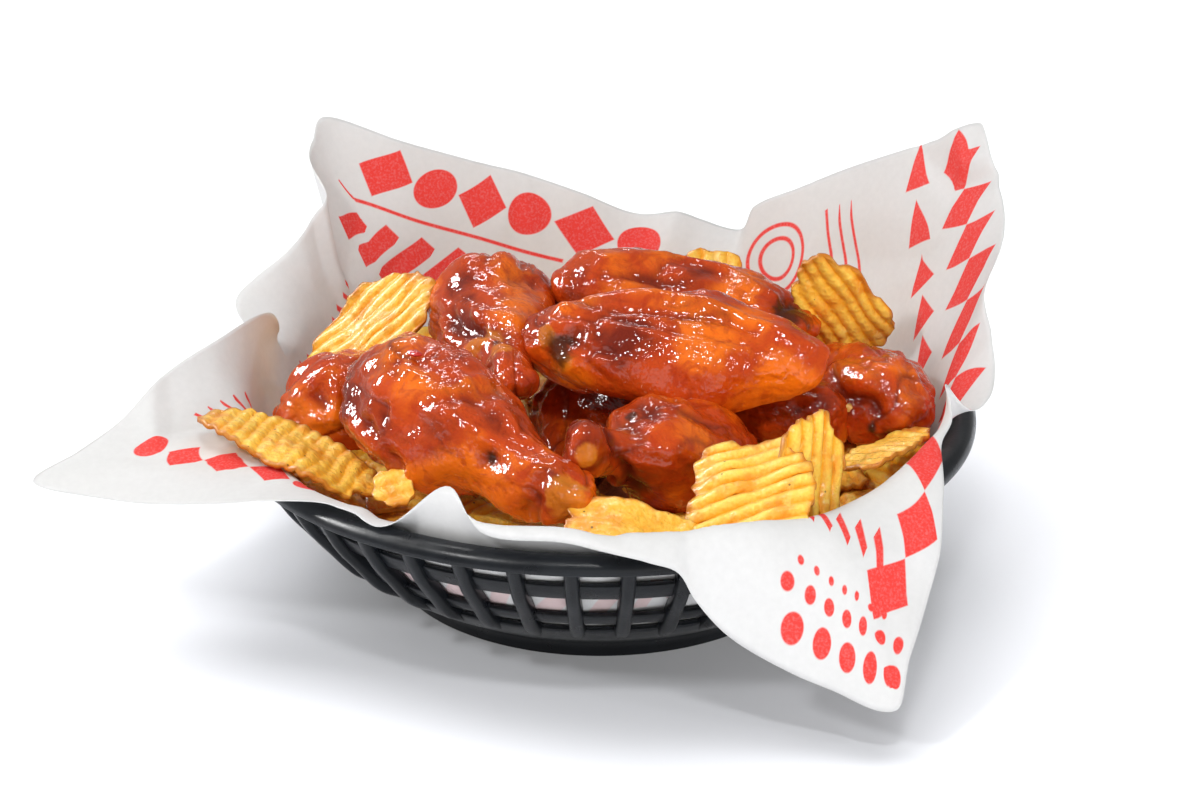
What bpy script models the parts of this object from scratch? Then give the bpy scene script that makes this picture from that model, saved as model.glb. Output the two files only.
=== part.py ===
"""A serving of chicken wings and ridged chips in a round, paper-lined plastic basket.

The numbers below are millimetres; meshes are scaled to metres as they are made.
The origin is the centre of the basket's flat foot, +Z is up and -Y is the front.
"""

import math

import bmesh
import bpy
from mathutils import Matrix, Vector, noise
from mathutils.bvhtree import BVHTree

MM = 0.001
GAP = 0.35                # clearance between pieces that touch
CUT_GROWTH = 0.45         # growth of a cutter, which its flat faces take only in part
UP = Vector((0.0, 0.0, 1.0))

# Basket: a dish with upright ribs, rows of windows between them and a rolled rim.
RIM_RADIUS = 117.5
RIM_TOP = 57.4
FOOT_RADIUS = 66.5
BASKET_WALL = 1.8
RIB_COUNT = 42
RIB_WIDTH = 4.4
RIB_DEPTH = 1.5

# Paper liner: a square deli sheet, pressed into the basket.
SHEET_SIDE = 305.0
SHEET_THICKNESS = 0.6
FLOOR_HEIGHT = 2.6        # the sheet's middle, just above the basket's floor

COLOURS = {
    "basket": ((0.020, 0.022, 0.025), 0.35),
    "paper": ((0.86, 0.84, 0.82), 0.65),
    "wing": ((0.46, 0.10, 0.025), 0.20),
    "chip": ((0.80, 0.45, 0.09), 0.60),
}


# ---------------------------------------------------------------- small helpers

def clamp(value, low=0.0, high=1.0):
    return max(low, min(high, value))


def smoothstep(start, end, value):
    step = clamp((value - start) / (end - start))
    return step * step * (3.0 - 2.0 * step)


def curve_at(keys, position):
    """Height of a smooth curve through (position, height) pairs, at a position."""
    if position <= keys[0][0]:
        return keys[0][1]
    if position >= keys[-1][0]:
        return keys[-1][1]
    last = len(keys) - 1
    i = next(n for n in range(last) if position <= keys[n + 1][0])
    (x0, y0), (x1, y1) = keys[i], keys[i + 1]
    before = keys[max(i - 1, 0)]
    after = keys[min(i + 2, last)]
    slope0 = (y1 - before[1]) / (x1 - before[0])
    slope1 = (after[1] - y0) / (after[0] - x0)
    width = x1 - x0
    u = (position - x0) / width
    rise = y0 + (y1 - y0) * u * u * (3.0 - 2.0 * u)
    return rise + width * u * (1.0 - u) * (slope0 * (1.0 - u) - slope1 * u)


def curve_round(keys, angle):
    """The same for a curve that repeats every 360 degrees."""
    wrapped = (angle - keys[0][0]) % 360.0 + keys[0][0]
    before = (keys[-1][0] - 360.0, keys[-1][1])
    after = (keys[0][0] + 360.0, keys[0][1])
    return curve_at([before] + keys + [after], wrapped)


def material(name):
    colour, roughness = COLOURS[name]
    made = bpy.data.materials.get(name) or bpy.data.materials.new(name)
    made.use_nodes = True
    shader = made.node_tree.nodes["Principled BSDF"]
    shader.inputs["Base Color"].default_value = (*colour, 1.0)
    shader.inputs["Roughness"].default_value = roughness
    shader.inputs["Metallic"].default_value = 0.0
    return made


def add_object(name, bm, looks, collection):
    """Turn a bmesh in millimetres into an object in metres."""
    bmesh.ops.triangulate(bm, faces=bm.faces[:])
    bmesh.ops.scale(bm, vec=(MM, MM, MM), verts=bm.verts)
    mesh = bpy.data.meshes.new(name)
    bm.to_mesh(mesh)
    bm.free()
    mesh.materials.append(material(looks))
    made = bpy.data.objects.new(name, mesh)
    collection.objects.link(made)
    return made


def thicken(piece, thickness, offset):
    """Give an open surface its thickness, in faces that are all flat."""
    skin = piece.modifiers.new("thickness", "SOLIDIFY")
    skin.thickness = thickness * MM
    skin.offset = offset
    piece.modifiers.new("flat_faces", "TRIANGULATE")


# ---------------------------------------------------------------- basket

# Outer face of the dish from foot to rim, (radius, height), ending under the rolled rim.
DISH_PROFILE = [
    (FOOT_RADIUS, 0.0),
    (FOOT_RADIUS + 1.5, 5.5),
    (79.0, 12.2),
    (89.5, 22.6),
    (96.8, 31.5),
    (102.4, 38.5),
    (106.6, 45.5),
    (109.0, 50.5),
    (110.2, 53.9),
    (112.4, RIM_TOP - BASKET_WALL),
    (115.2, 54.7),
    (RIM_RADIUS - BASKET_WALL, 53.0),
]
WINDOW_ROWS = (4, 6)            # strips of the profile that are open between ribs
RIB_ROWS = (2, 3, 4, 5, 6)
PLAIN_ROWS = (0, 1, 7, 8, 9, 10)


def column_angle(line):
    """Angle of an upright line of the grid: two lines to each rib, one at each side."""
    rib, side = divmod(line, 2)
    half_rib = 0.5 * RIB_WIDTH / RIM_RADIUS
    return rib * 2.0 * math.pi / RIB_COUNT + (half_rib if side else -half_rib)


def build_basket(collection):
    lines = 2 * RIB_COUNT
    rows = len(DISH_PROFILE) - 1
    bm = bmesh.new()
    bmesh.ops.create_grid(bm, x_segments=lines, y_segments=rows, size=0.5)
    row_layer = bm.faces.layers.int.new("row")
    rib_layer = bm.faces.layers.int.new("rib")
    for face in bm.faces:
        middle = face.calc_center_median()
        face[row_layer] = int((middle.y + 0.5) * rows)
        face[rib_layer] = int((middle.x + 0.5) * lines) % 2 == 0
    windows = [f for f in bm.faces if f[row_layer] in WINDOW_ROWS and not f[rib_layer]]
    bmesh.ops.delete(bm, geom=windows, context="FACES")

    # The plain strips need only one upright line to each rib.
    spare = []
    for edge in bm.edges:
        across = (edge.verts[0].co.x + edge.verts[1].co.x) * 0.5 + 0.5
        upright = abs(edge.verts[0].co.x - edge.verts[1].co.x) < 1e-6
        plain = all(face[row_layer] in PLAIN_ROWS for face in edge.link_faces)
        if upright and plain and round(across * lines) % 2:
            spare.append(edge)
    bmesh.ops.dissolve_edges(bm, edges=spare, use_verts=True)

    for vert in bm.verts:
        angle = column_angle(round((vert.co.x + 0.5) * lines))
        radius, height = DISH_PROFILE[round((vert.co.y + 0.5) * rows)]
        vert.co = (radius * math.cos(angle), radius * math.sin(angle), height)
    bmesh.ops.remove_doubles(bm, verts=bm.verts, dist=0.01)
    foot = [e for e in bm.edges if e.verts[0].co.z + e.verts[1].co.z < 0.01]
    bmesh.ops.contextual_create(bm, geom=foot)
    bmesh.ops.recalc_face_normals(bm, faces=bm.faces)
    bmesh.ops.solidify(bm, geom=bm.faces[:], thickness=-BASKET_WALL)
    bmesh.ops.recalc_face_normals(bm, faces=bm.faces)
    raise_ribs(bm, row_layer, rib_layer)
    return add_object("basket", bm, "basket", collection)


def raise_ribs(bm, row_layer, rib_layer):
    """Push the outer faces of the ribs out, less at the foot where a rib tapers away."""
    outer = []
    for face in bm.faces:
        facing = face.normal.xy.dot(face.calc_center_median().xy.normalized())
        if face[rib_layer] and face[row_layer] in RIB_ROWS and facing > 0.3:
            outer.append(face)
    raised = bmesh.ops.extrude_face_region(bm, geom=outer)["geom"]
    bmesh.ops.delete(bm, geom=outer, context="FACES")
    foot_height = DISH_PROFILE[RIB_ROWS[0]][1]
    for vert in raised:
        if not isinstance(vert, bmesh.types.BMVert):
            continue
        outward = vert.co.xy.normalized().to_3d()
        slant = (outward - 0.6 * UP).normalized()
        growth = 0.25 + 0.75 * smoothstep(foot_height, foot_height + 8.0, vert.co.z)
        vert.co += slant * RIB_DEPTH * growth
    bmesh.ops.recalc_face_normals(bm, faces=bm.faces)


# ---------------------------------------------------------------- paper liner

# How the sheet leaves the basket, by direction in the flat sheet (degrees): the direction
# it takes seen from above, the length of its bend over the rim, its slope beyond the rim
# and how much it curls there (degrees), and the share of its reach that is left.
LINER_KEYS = [
    # sheet, plan, bend, slope, curl, reach
    (45.0, 27.0, 20.0, 74.0, -4.0, 0.88),      # right corner, standing
    (62.0, 48.0, 20.0, 66.0, 0.0, 1.0),
    (90.0, 79.0, 20.0, 62.0, 0.0, 1.1),        # back
    (115.0, 109.0, 20.0, 62.0, 0.0, 1.0),
    (135.0, 133.0, 20.0, 66.0, -6.0, 0.82),    # back corner, standing
    (152.0, 147.0, 20.0, 44.0, 0.0, 0.95),
    (168.0, 160.0, 16.0, 22.0, 0.0, 1.0),      # back lobe, lying out over the rim
    (184.0, 161.0, 20.0, 64.0, 0.0, 1.0),      # fold between the two left lobes
    (202.0, 178.0, 16.0, 26.0, -8.0, 0.9),
    (225.0, 200.5, 12.0, 2.0, -14.0, 0.86),    # left corner, lying out
    (243.0, 222.0, 12.0, 2.0, 0.0, 1.0),
    (255.0, 239.0, 10.0, 20.0, 0.0, 1.0),
    (264.0, 249.0, 20.0, 78.0, 0.0, 1.0),      # pointed fold at the front
    (273.0, 258.0, 10.0, 20.0, 0.0, 1.0),
    (285.0, 269.0, 10.0, 12.0, 0.0, 1.0),      # front lip
    (295.0, 280.0, 14.0, 0.0, 0.0, 0.95),
    (304.0, 289.0, 20.0, -44.0, 0.0, 0.95),
    (315.0, 302.0, 20.0, -52.0, -2.0, 0.9),    # front corner, hanging
    (330.0, 312.0, 20.0, -40.0, 0.0, 0.9),
    (345.0, 324.0, 18.0, -6.0, 0.0, 0.95),
    (355.0, 337.0, 16.0, 50.0, 0.0, 1.0),
    (362.0, 347.0, 20.0, 70.0, 0.0, 1.0),      # fold at the right
    (373.0, 357.0, 14.0, 44.0, 0.0, 1.0),
    (388.0, 11.0, 18.0, 62.0, 0.0, 0.95),
]
LINER_DIRECTIONS = 40
LINER_RINGS = (0.0, 57.0, 72.0, 100.0, 124.0, 135.0, 147.0)
LINER_MARGIN = (0.5, 1.0)           # rings between the last one and the sheet's edge
RIM_SLOPE = 74.0                    # slope of the sheet where it comes up to the rim
WALK_STEP = 1.0


def offset_profile(points, distance):
    """Points moved to the left of the way they run."""
    moved = []
    for i, (x, y) in enumerate(points):
        x0, y0 = points[max(i - 1, 0)]
        x1, y1 = points[min(i + 1, len(points) - 1)]
        length = math.hypot(x1 - x0, y1 - y0)
        moved.append((x - (y1 - y0) / length * distance, y + (x1 - x0) / length * distance))
    return moved


def liner_wall():
    """The sheet's path inside the basket, as (distance walked, radius, height)."""
    inner = offset_profile(DISH_PROFILE[1:9], BASKET_WALL + 2.0 * GAP)
    path = [(0.0, FLOOR_HEIGHT), (FOOT_RADIUS - 8.5, FLOOR_HEIGHT)] + inner
    walked = 0.0
    result = [(0.0, *path[0])]
    for (r0, z0), (r1, z1) in zip(path, path[1:]):
        walked += math.hypot(r1 - r0, z1 - z0)
        result.append((walked, r1, z1))
    return result


LINER_WALL = liner_wall()
WALL_END, RIM_R, RIM_Z = LINER_WALL[-1]
WALL_RADII = [(walked, radius) for walked, radius, height in LINER_WALL]
WALL_HEIGHTS = [(walked, height) for walked, radius, height in LINER_WALL]


def liner_key(column, direction):
    return curve_round([(row[0], row[column]) for row in LINER_KEYS], direction)


def sheet_edge(direction):
    """Distance from the sheet's middle to its edge."""
    turn = math.radians((direction + 45.0) % 90.0 - 45.0)
    return 0.5 * SHEET_SIDE / math.cos(turn)


def plan_angle(direction, reach):
    """Where a direction of the sheet points seen from above: it turns towards the rim."""
    keys = []
    for row in LINER_KEYS:
        swing = (row[1] - row[0] + 180.0) % 360.0 - 180.0
        keys.append((row[0], swing))
    swing = curve_round(keys, direction)
    floor_swing = -14.0
    share = smoothstep(60.0, WALL_END, reach)
    return math.radians(direction + floor_swing + (swing - floor_swing) * share)


def sheet_point(direction, reach):
    """Place in space of a point of the flat sheet."""
    if reach <= WALL_END:
        radius = curve_at(WALL_RADII, reach)
        height = curve_at(WALL_HEIGHTS, reach)
    else:
        bend = liner_key(2, direction)
        slope = liner_key(3, direction)
        curl = liner_key(4, direction)
        left = (reach - WALL_END) * liner_key(5, direction)
        radius, height, walked = RIM_R, RIM_Z, 0.0
        while walked < left:
            step = min(WALK_STEP, left - walked)
            middle = walked + 0.5 * step
            heading = RIM_SLOPE + (slope - RIM_SLOPE) * smoothstep(0.0, bend, middle)
            heading += curl * max(middle - bend, 0.0) / 50.0
            radius += step * math.cos(math.radians(heading))
            height += step * math.sin(math.radians(heading))
            walked += step
    angle = plan_angle(direction, reach)
    return Vector((radius * math.cos(angle), radius * math.sin(angle), height))


def build_liner(collection):
    rings = len(LINER_RINGS) + len(LINER_MARGIN) - 1
    bm = bmesh.new()
    grid = bmesh.ops.create_grid(bm, x_segments=LINER_DIRECTIONS, y_segments=rings, size=0.5)
    for vert in grid["verts"]:
        direction = 45.0 + 360.0 * (vert.co.x + 0.5)
        ring = round((vert.co.y + 0.5) * rings)
        if ring < len(LINER_RINGS):
            reach = LINER_RINGS[ring]
        else:
            share = LINER_MARGIN[ring - len(LINER_RINGS)]
            reach = LINER_RINGS[-1] + (sheet_edge(direction) - LINER_RINGS[-1]) * share
        vert.co = sheet_point(direction, reach)
    bmesh.ops.remove_doubles(bm, verts=bm.verts, dist=0.01)
    bmesh.ops.recalc_face_normals(bm, faces=bm.faces)
    liner = add_object("liner", bm, "paper", collection)
    thicken(liner, SHEET_THICKNESS, 1.0)
    return liner


# ---------------------------------------------------------------- wings

# Half widths and half heights in millimetres along the length, from 0 to 1.
FORMS = {
    "drumette": {
        "length": 90.0,
        "blunt": 2.6,
        "width": [(0.0, 17.0), (0.2, 20.5), (0.42, 19.0), (0.63, 13.0), (0.8, 9.0),
                  (0.91, 10.0), (1.0, 9.5)],
        "height": [(0.0, 15.0), (0.2, 19.0), (0.42, 17.5), (0.63, 12.0), (0.8, 8.0),
                   (0.91, 9.0), (1.0, 8.5)],
        "lumps": 1.6,
    },
    "flat": {
        "length": 94.0,
        "blunt": 3.2,
        "width": [(0.0, 12.5), (0.15, 14.5), (0.4, 18.0), (0.66, 18.5), (0.86, 14.0),
                  (1.0, 9.0)],
        "height": [(0.0, 12.0), (0.15, 13.0), (0.4, 12.0), (0.66, 10.5), (0.86, 8.5),
                   (1.0, 6.0)],
        "lumps": 1.0,
    },
}
WING_SIDES = 12
WING_RINGS = 9

# Each wing: name, form, the two ends of its axis (thick end first), roll, girth.
# They run from the top of the heap down.
WINGS = [
    ("wing_front_top", "flat", (-24, -12, 81), (69, -24, 78), 42, 1.0),
    ("wing_back_top", "flat", (-15, 27, 84), (70, 20, 72), 25, 1.0),
    ("wing_front_left", "drumette", (-73, -23, 74), (-3, -85, 60), 0, 1.15),
    ("wing_back_left", "drumette", (-38, 50, 73), (-26, -38, 75), 0, 1.05),
    ("wing_centre", "drumette", (42, -26, 47), (-8, -73, 71), 0, 1.0),
    ("wing_right_back", "drumette", (98, -26, 60), (62, 38, 57), 0, 0.85),
    ("wing_right_front", "flat", (76, -20, 57), (22, 14, 54), 25, 1.0),
    ("wing_left", "drumette", (-96, -16, 59), (-46, 20, 50), 0, 0.9),
    ("wing_low", "drumette", (2, 40, 47), (-12, -44, 42), 0, 0.98),
]


def wing_point(form, unit, seed):
    """Map a point of the unit sphere, its axis along X, onto the wing's skin."""
    along = clamp(0.5 + 0.5 * unit.x)
    round_off = (1.0 - abs(unit.x) ** form["blunt"]) ** (1.0 / form["blunt"])
    ring = max(math.hypot(unit.y, unit.z), 1e-9)
    across = unit.y / ring
    upward = unit.z / ring
    place = Vector((
        (along - 0.5) * form["length"],
        curve_at(form["width"], along) * round_off * across,
        curve_at(form["height"], along) * round_off * upward,
    ))
    lump = noise.noise(place / 17.0 + Vector((seed, 0.0, 0.0)))
    outward = Vector((0.3 * unit.x, across, upward)).normalized()
    return place + outward * lump * form["lumps"] * 2.0 * round_off


def axis_matrix(start, end, roll):
    """Frame with X from start to end, rolled about it by an angle in degrees."""
    start, end = Vector(start), Vector(end)
    along = (end - start).normalized()
    side = UP.cross(along).normalized()
    normal = along.cross(side)
    frame = Matrix((along, side, normal)).transposed().to_4x4()
    turn = Matrix.Rotation(math.radians(roll), 4, "X")
    return Matrix.Translation((start + end) * 0.5) @ frame @ turn


def build_wing(row, seed, collection):
    name, form_name, start, end, roll, girth = row
    form = FORMS[form_name]
    stretch = (Vector(end) - Vector(start)).length / form["length"]
    bm = bmesh.new()
    turned = Matrix.Rotation(math.radians(90.0), 4, "Y")
    bmesh.ops.create_uvsphere(bm, u_segments=WING_SIDES, v_segments=WING_RINGS, radius=1.0,
                              matrix=turned)
    frame = axis_matrix(start, end, roll)
    for vert in bm.verts:
        place = wing_point(form, vert.co.normalized(), seed * 7.3)
        place = Vector((place.x * stretch, place.y * girth, place.z * girth))
        vert.co = frame @ place
    return add_object(name, bm, "wing", collection)


# ---------------------------------------------------------------- chips

RIDGE_PITCH = 4.0
RIDGE_DEPTH = 0.8
CHIP_THICKNESS = 1.7

# Each chip: name, centre, the way its ridges run, the way it faces, half size across and
# along the ridges, and how much it bends across and along them (per millimetre).
CHIPS = [
    ("chip_left_back", (-74, 22, 69), (0.74, 0.1, 0.66), (-0.5, -0.65, 0.6), 15, 23, 0.006, 0.0),
    ("chip_left_front", (-90, -49, 61.2), (0.25, 0.95, -0.05), (0.3, 0.0, 0.9), 27, 12, 0.005, 0.0),
    ("chip_left_bit", (-59, -68, 57), (0.8, 0.2, 0.2), (0.0, -0.6, 0.8), 7, 7, 0.0, 0.0),
    ("chip_front", (9, -95.5, 57.8), (0.1, 0.8, 0.6), (0.0, -0.6, 0.8), 21, 9, 0.006, 0.0),
    ("chip_front_right", (40, -79, 56.6), (0.95, -0.1, 0.25), (-0.15, -0.75, 0.65), 15, 22, 0.008, 0.004),
    ("chip_right_fold", (60.5, -63.5, 60), (-0.15, 0.4, 0.9), (0.35, -0.75, 0.5), 12, 13, 0.01, 0.0),
    ("chip_right", (84.0, -46.5, 60.0), (-0.7, 0.55, -0.3), (0.2, 0.0, 0.9), 17.5, 11, 0.004, 0.0),
    ("chip_right_back", (77, 22, 77), (0.45, 0.3, -0.75), (-0.2, -0.8, 0.55), 13, 20, 0.006, 0.0),
    ("chip_back", (34, 47, 77), (0.0, 0.4, 0.9), (0.0, -0.9, 0.4), 15, 10, 0.004, 0.0),
]


def facing_matrix(centre, ridges, facing):
    """Frame with Y along the ridges and Z as near as can be to the facing direction."""
    along = Vector(ridges).normalized()
    across = along.cross(Vector(facing)).normalized()
    normal = across.cross(along)
    frame = Matrix((across, along, normal)).transposed().to_4x4()
    return Matrix.Translation(centre) @ frame


def build_chip(row, collection):
    name, centre, ridges, facing, across, along, bend_x, bend_y = row
    strips = 2 * round(2.0 * across / RIDGE_PITCH)
    lengths = 2 if bend_y else 1
    bm = bmesh.new()
    grid = bmesh.ops.create_grid(bm, x_segments=strips, y_segments=lengths, size=1.0)
    frame = facing_matrix(centre, ridges, facing)
    for vert in grid["verts"]:
        line = round((vert.co.x + 1.0) * 0.5 * strips)
        x = (line / strips - 0.5) * 2.0 * across
        y = vert.co.y * along * math.sqrt(1.0 - 0.9 * (x / across) ** 2)
        ridge = RIDGE_DEPTH if line % 2 else -RIDGE_DEPTH
        vert.co = frame @ Vector((x, y, ridge - bend_x * x * x - bend_y * y * y))
    chip = add_object(name, bm, "chip", collection)
    thicken(chip, CHIP_THICKNESS, 0.0)
    return chip


# ---------------------------------------------------------------- bed of chips

BED_SIDES = 20
BED_TOP = [(0.0, 45.0), (40.0, 44.0), (75.0, 46.0), (105.0, 46.0)]
BED_RINGS = (30.0, 60.0, 82.0)
BED_UNEVEN = 5.0


def build_bed(collection):
    """One solid for the heap: its underside follows the liner, its top is uneven."""
    clearance = SHEET_THICKNESS + 3.0 * GAP
    wall = []
    for reach in LINER_RINGS[:5]:
        wall.append((curve_at(WALL_RADII, reach), curve_at(WALL_HEIGHTS, reach)))
    profile = offset_profile(wall, clearance)
    profile[0] = (0.0, FLOOR_HEIGHT + clearance)
    top_start = len(profile)
    profile += [(radius, curve_at(BED_TOP, radius)) for radius in reversed(BED_RINGS)]
    profile.append((0.0, curve_at(BED_TOP, 0.0)))
    bm = bmesh.new()
    rows = len(profile) - 1
    grid = bmesh.ops.create_grid(bm, x_segments=BED_SIDES, y_segments=rows, size=0.5)
    for vert in grid["verts"]:
        angle = 2.0 * math.pi * (vert.co.x + 0.5)
        row = round((vert.co.y + 0.5) * rows)
        radius, height = profile[row]
        place = Vector((radius * math.cos(angle), radius * math.sin(angle), height))
        if row >= top_start:
            place.z += BED_UNEVEN * noise.noise(place / 22.0)
        vert.co = place
    bmesh.ops.remove_doubles(bm, verts=bm.verts, dist=0.01)
    bmesh.ops.recalc_face_normals(bm, faces=bm.faces)
    return add_object("chip_bed", bm, "chip", collection)


# ---------------------------------------------------------------- assembly

def evaluated_bmesh(piece):
    bm = bmesh.new()
    bm.from_object(piece, bpy.context.evaluated_depsgraph_get())
    return bm


def cut_back(piece, neighbour, cutters):
    """Take the neighbour, grown by the gap, out of a piece that it presses into."""
    grown = evaluated_bmesh(neighbour)
    grown.normal_update()
    for vert in grown.verts:
        vert.co += vert.normal * CUT_GROWTH * MM
    own = evaluated_bmesh(piece)
    touching = BVHTree.FromBMesh(grown).overlap(BVHTree.FromBMesh(own))
    own.free()
    if not touching:
        grown.free()
        return
    mesh = bpy.data.meshes.new(f"{piece.name}_cut")
    grown.to_mesh(mesh)
    grown.free()
    cutter = bpy.data.objects.new(mesh.name, mesh)
    cutter.hide_render = True
    cutter.display_type = "WIRE"
    cutters.objects.link(cutter)
    cut = piece.modifiers.new("cut", "BOOLEAN")
    cut.operation = "DIFFERENCE"
    cut.object = cutter


def main():
    for old in list(bpy.data.objects):
        bpy.data.objects.remove(old)
    serving = bpy.data.collections.new("chicken_wings_serving")
    cutters = bpy.data.collections.new("cutters")
    bpy.context.scene.collection.children.link(serving)
    bpy.context.scene.collection.children.link(cutters)
    build_basket(serving)
    build_liner(serving)
    wings = [build_wing(row, seed, serving) for seed, row in enumerate(WINGS)]
    chips = [build_chip(row, serving) for row in CHIPS]
    food = wings + [build_bed(serving)] + chips
    bpy.context.view_layer.update()
    for i, piece in enumerate(food):
        for above in food[:i]:
            cut_back(piece, above, cutters)


main()
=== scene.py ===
import math
import random

import bmesh
import bpy
import numpy as np
from mathutils import Matrix, Vector, noise


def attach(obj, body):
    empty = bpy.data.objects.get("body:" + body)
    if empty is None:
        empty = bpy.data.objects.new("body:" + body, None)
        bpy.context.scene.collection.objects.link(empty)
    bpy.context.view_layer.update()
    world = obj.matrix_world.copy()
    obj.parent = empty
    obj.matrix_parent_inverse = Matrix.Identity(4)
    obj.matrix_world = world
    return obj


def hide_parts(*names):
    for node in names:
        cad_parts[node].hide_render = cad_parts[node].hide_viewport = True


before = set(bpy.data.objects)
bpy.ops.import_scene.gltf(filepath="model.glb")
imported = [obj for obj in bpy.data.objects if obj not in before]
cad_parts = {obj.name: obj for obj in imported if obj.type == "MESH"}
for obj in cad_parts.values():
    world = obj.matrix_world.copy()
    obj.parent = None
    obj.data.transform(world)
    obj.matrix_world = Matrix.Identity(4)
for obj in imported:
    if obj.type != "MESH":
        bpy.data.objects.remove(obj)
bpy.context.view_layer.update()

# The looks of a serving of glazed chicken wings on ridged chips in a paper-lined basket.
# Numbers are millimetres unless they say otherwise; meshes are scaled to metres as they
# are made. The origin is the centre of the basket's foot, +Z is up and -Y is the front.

noise.seed_set(5)             # fixes the offsets that noise_vector uses
MM = 0.001
UP = Vector((0.0, 0.0, 1.0))

# Basket
RIM_TOP = 57.4
RIM_RADIUS = 117.5
FOOT_RADIUS = 66.5
BASKET_WALL = 1.8
RIB_COUNT = 42
RIB_WIDTH = 4.4
RIB_DEPTH = 2.6

# Paper liner
SHEET_SIDE = 305.0
SHEET_THICKNESS = 0.25
FLOOR_HEIGHT = 2.6
LINER_GAP = 0.35


# ---------------------------------------------------------------- small helpers

def clamp(value, low=0.0, high=1.0):
    return max(low, min(high, value))


def smoothstep(start, end, value):
    step = clamp((value - start) / (end - start))
    return step * step * (3.0 - 2.0 * step)


def hill(value, centre, width):
    """A smooth hump of height 1 at the centre."""
    return math.exp(-((value - centre) / width) ** 2)


def curve_at(keys, position):
    """Height of a smooth curve through (position, height) pairs, at a position."""
    if position <= keys[0][0]:
        return keys[0][1]
    if position >= keys[-1][0]:
        return keys[-1][1]
    last = len(keys) - 1
    i = next(n for n in range(last) if position <= keys[n + 1][0])
    (x0, y0), (x1, y1) = keys[i], keys[i + 1]
    before = keys[max(i - 1, 0)]
    after = keys[min(i + 2, last)]
    slope0 = (y1 - before[1]) / (x1 - before[0])
    slope1 = (after[1] - y0) / (after[0] - x0)
    width = x1 - x0
    u = (position - x0) / width
    rise = y0 + (y1 - y0) * u * u * (3.0 - 2.0 * u)
    return rise + width * u * (1.0 - u) * (slope0 * (1.0 - u) - slope1 * u)


def curve_round(keys, angle):
    """The same for a curve that repeats every 360 degrees."""
    wrapped = (angle - keys[0][0]) % 360.0 + keys[0][0]
    before = (keys[-1][0] - 360.0, keys[-1][1])
    after = (keys[0][0] + 360.0, keys[0][1])
    return curve_at([before] + keys + [after], wrapped)


def new_piece(name, points, faces, looks, smooth=True):
    """A mesh object in metres from points in millimetres, riding on the one body."""
    mesh = bpy.data.meshes.new(name)
    scaled = [(x * MM, y * MM, z * MM) for x, y, z in points]
    mesh.from_pydata(scaled, [], faces)
    mesh.polygons.foreach_set("use_smooth", [smooth] * len(mesh.polygons))
    for look in looks if isinstance(looks, (list, tuple)) else [looks]:
        mesh.materials.append(look)
    piece = bpy.data.objects.new(name, mesh)
    bpy.context.scene.collection.objects.link(piece)
    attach(piece, "root")
    return piece


def grid_faces(columns, rows, round_columns=False, start=0):
    """Quads of a grid stored row by row; a round one closes its last column on its first."""
    wide = columns if round_columns else columns + 1
    faces = []
    for j in range(rows):
        for i in range(columns):
            a = start + j * wide + i
            b = start + j * wide + (i + 1) % wide
            faces.append((a, b, b + wide, a + wide))
    return faces


def paint(piece, name, values):
    """Store one number a vertex for the material to read."""
    layer = piece.data.attributes.new(name, "FLOAT", "POINT")
    layer.data.foreach_set("value", np.asarray(values, dtype=np.float32))


def apply_modifiers(piece):
    graph = bpy.context.evaluated_depsgraph_get()
    made = bpy.data.meshes.new_from_object(piece.evaluated_get(graph), depsgraph=graph)
    piece.modifiers.clear()
    old = piece.data
    piece.data = made
    bpy.data.meshes.remove(old)


# ---------------------------------------------------------------- shader helpers

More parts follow.
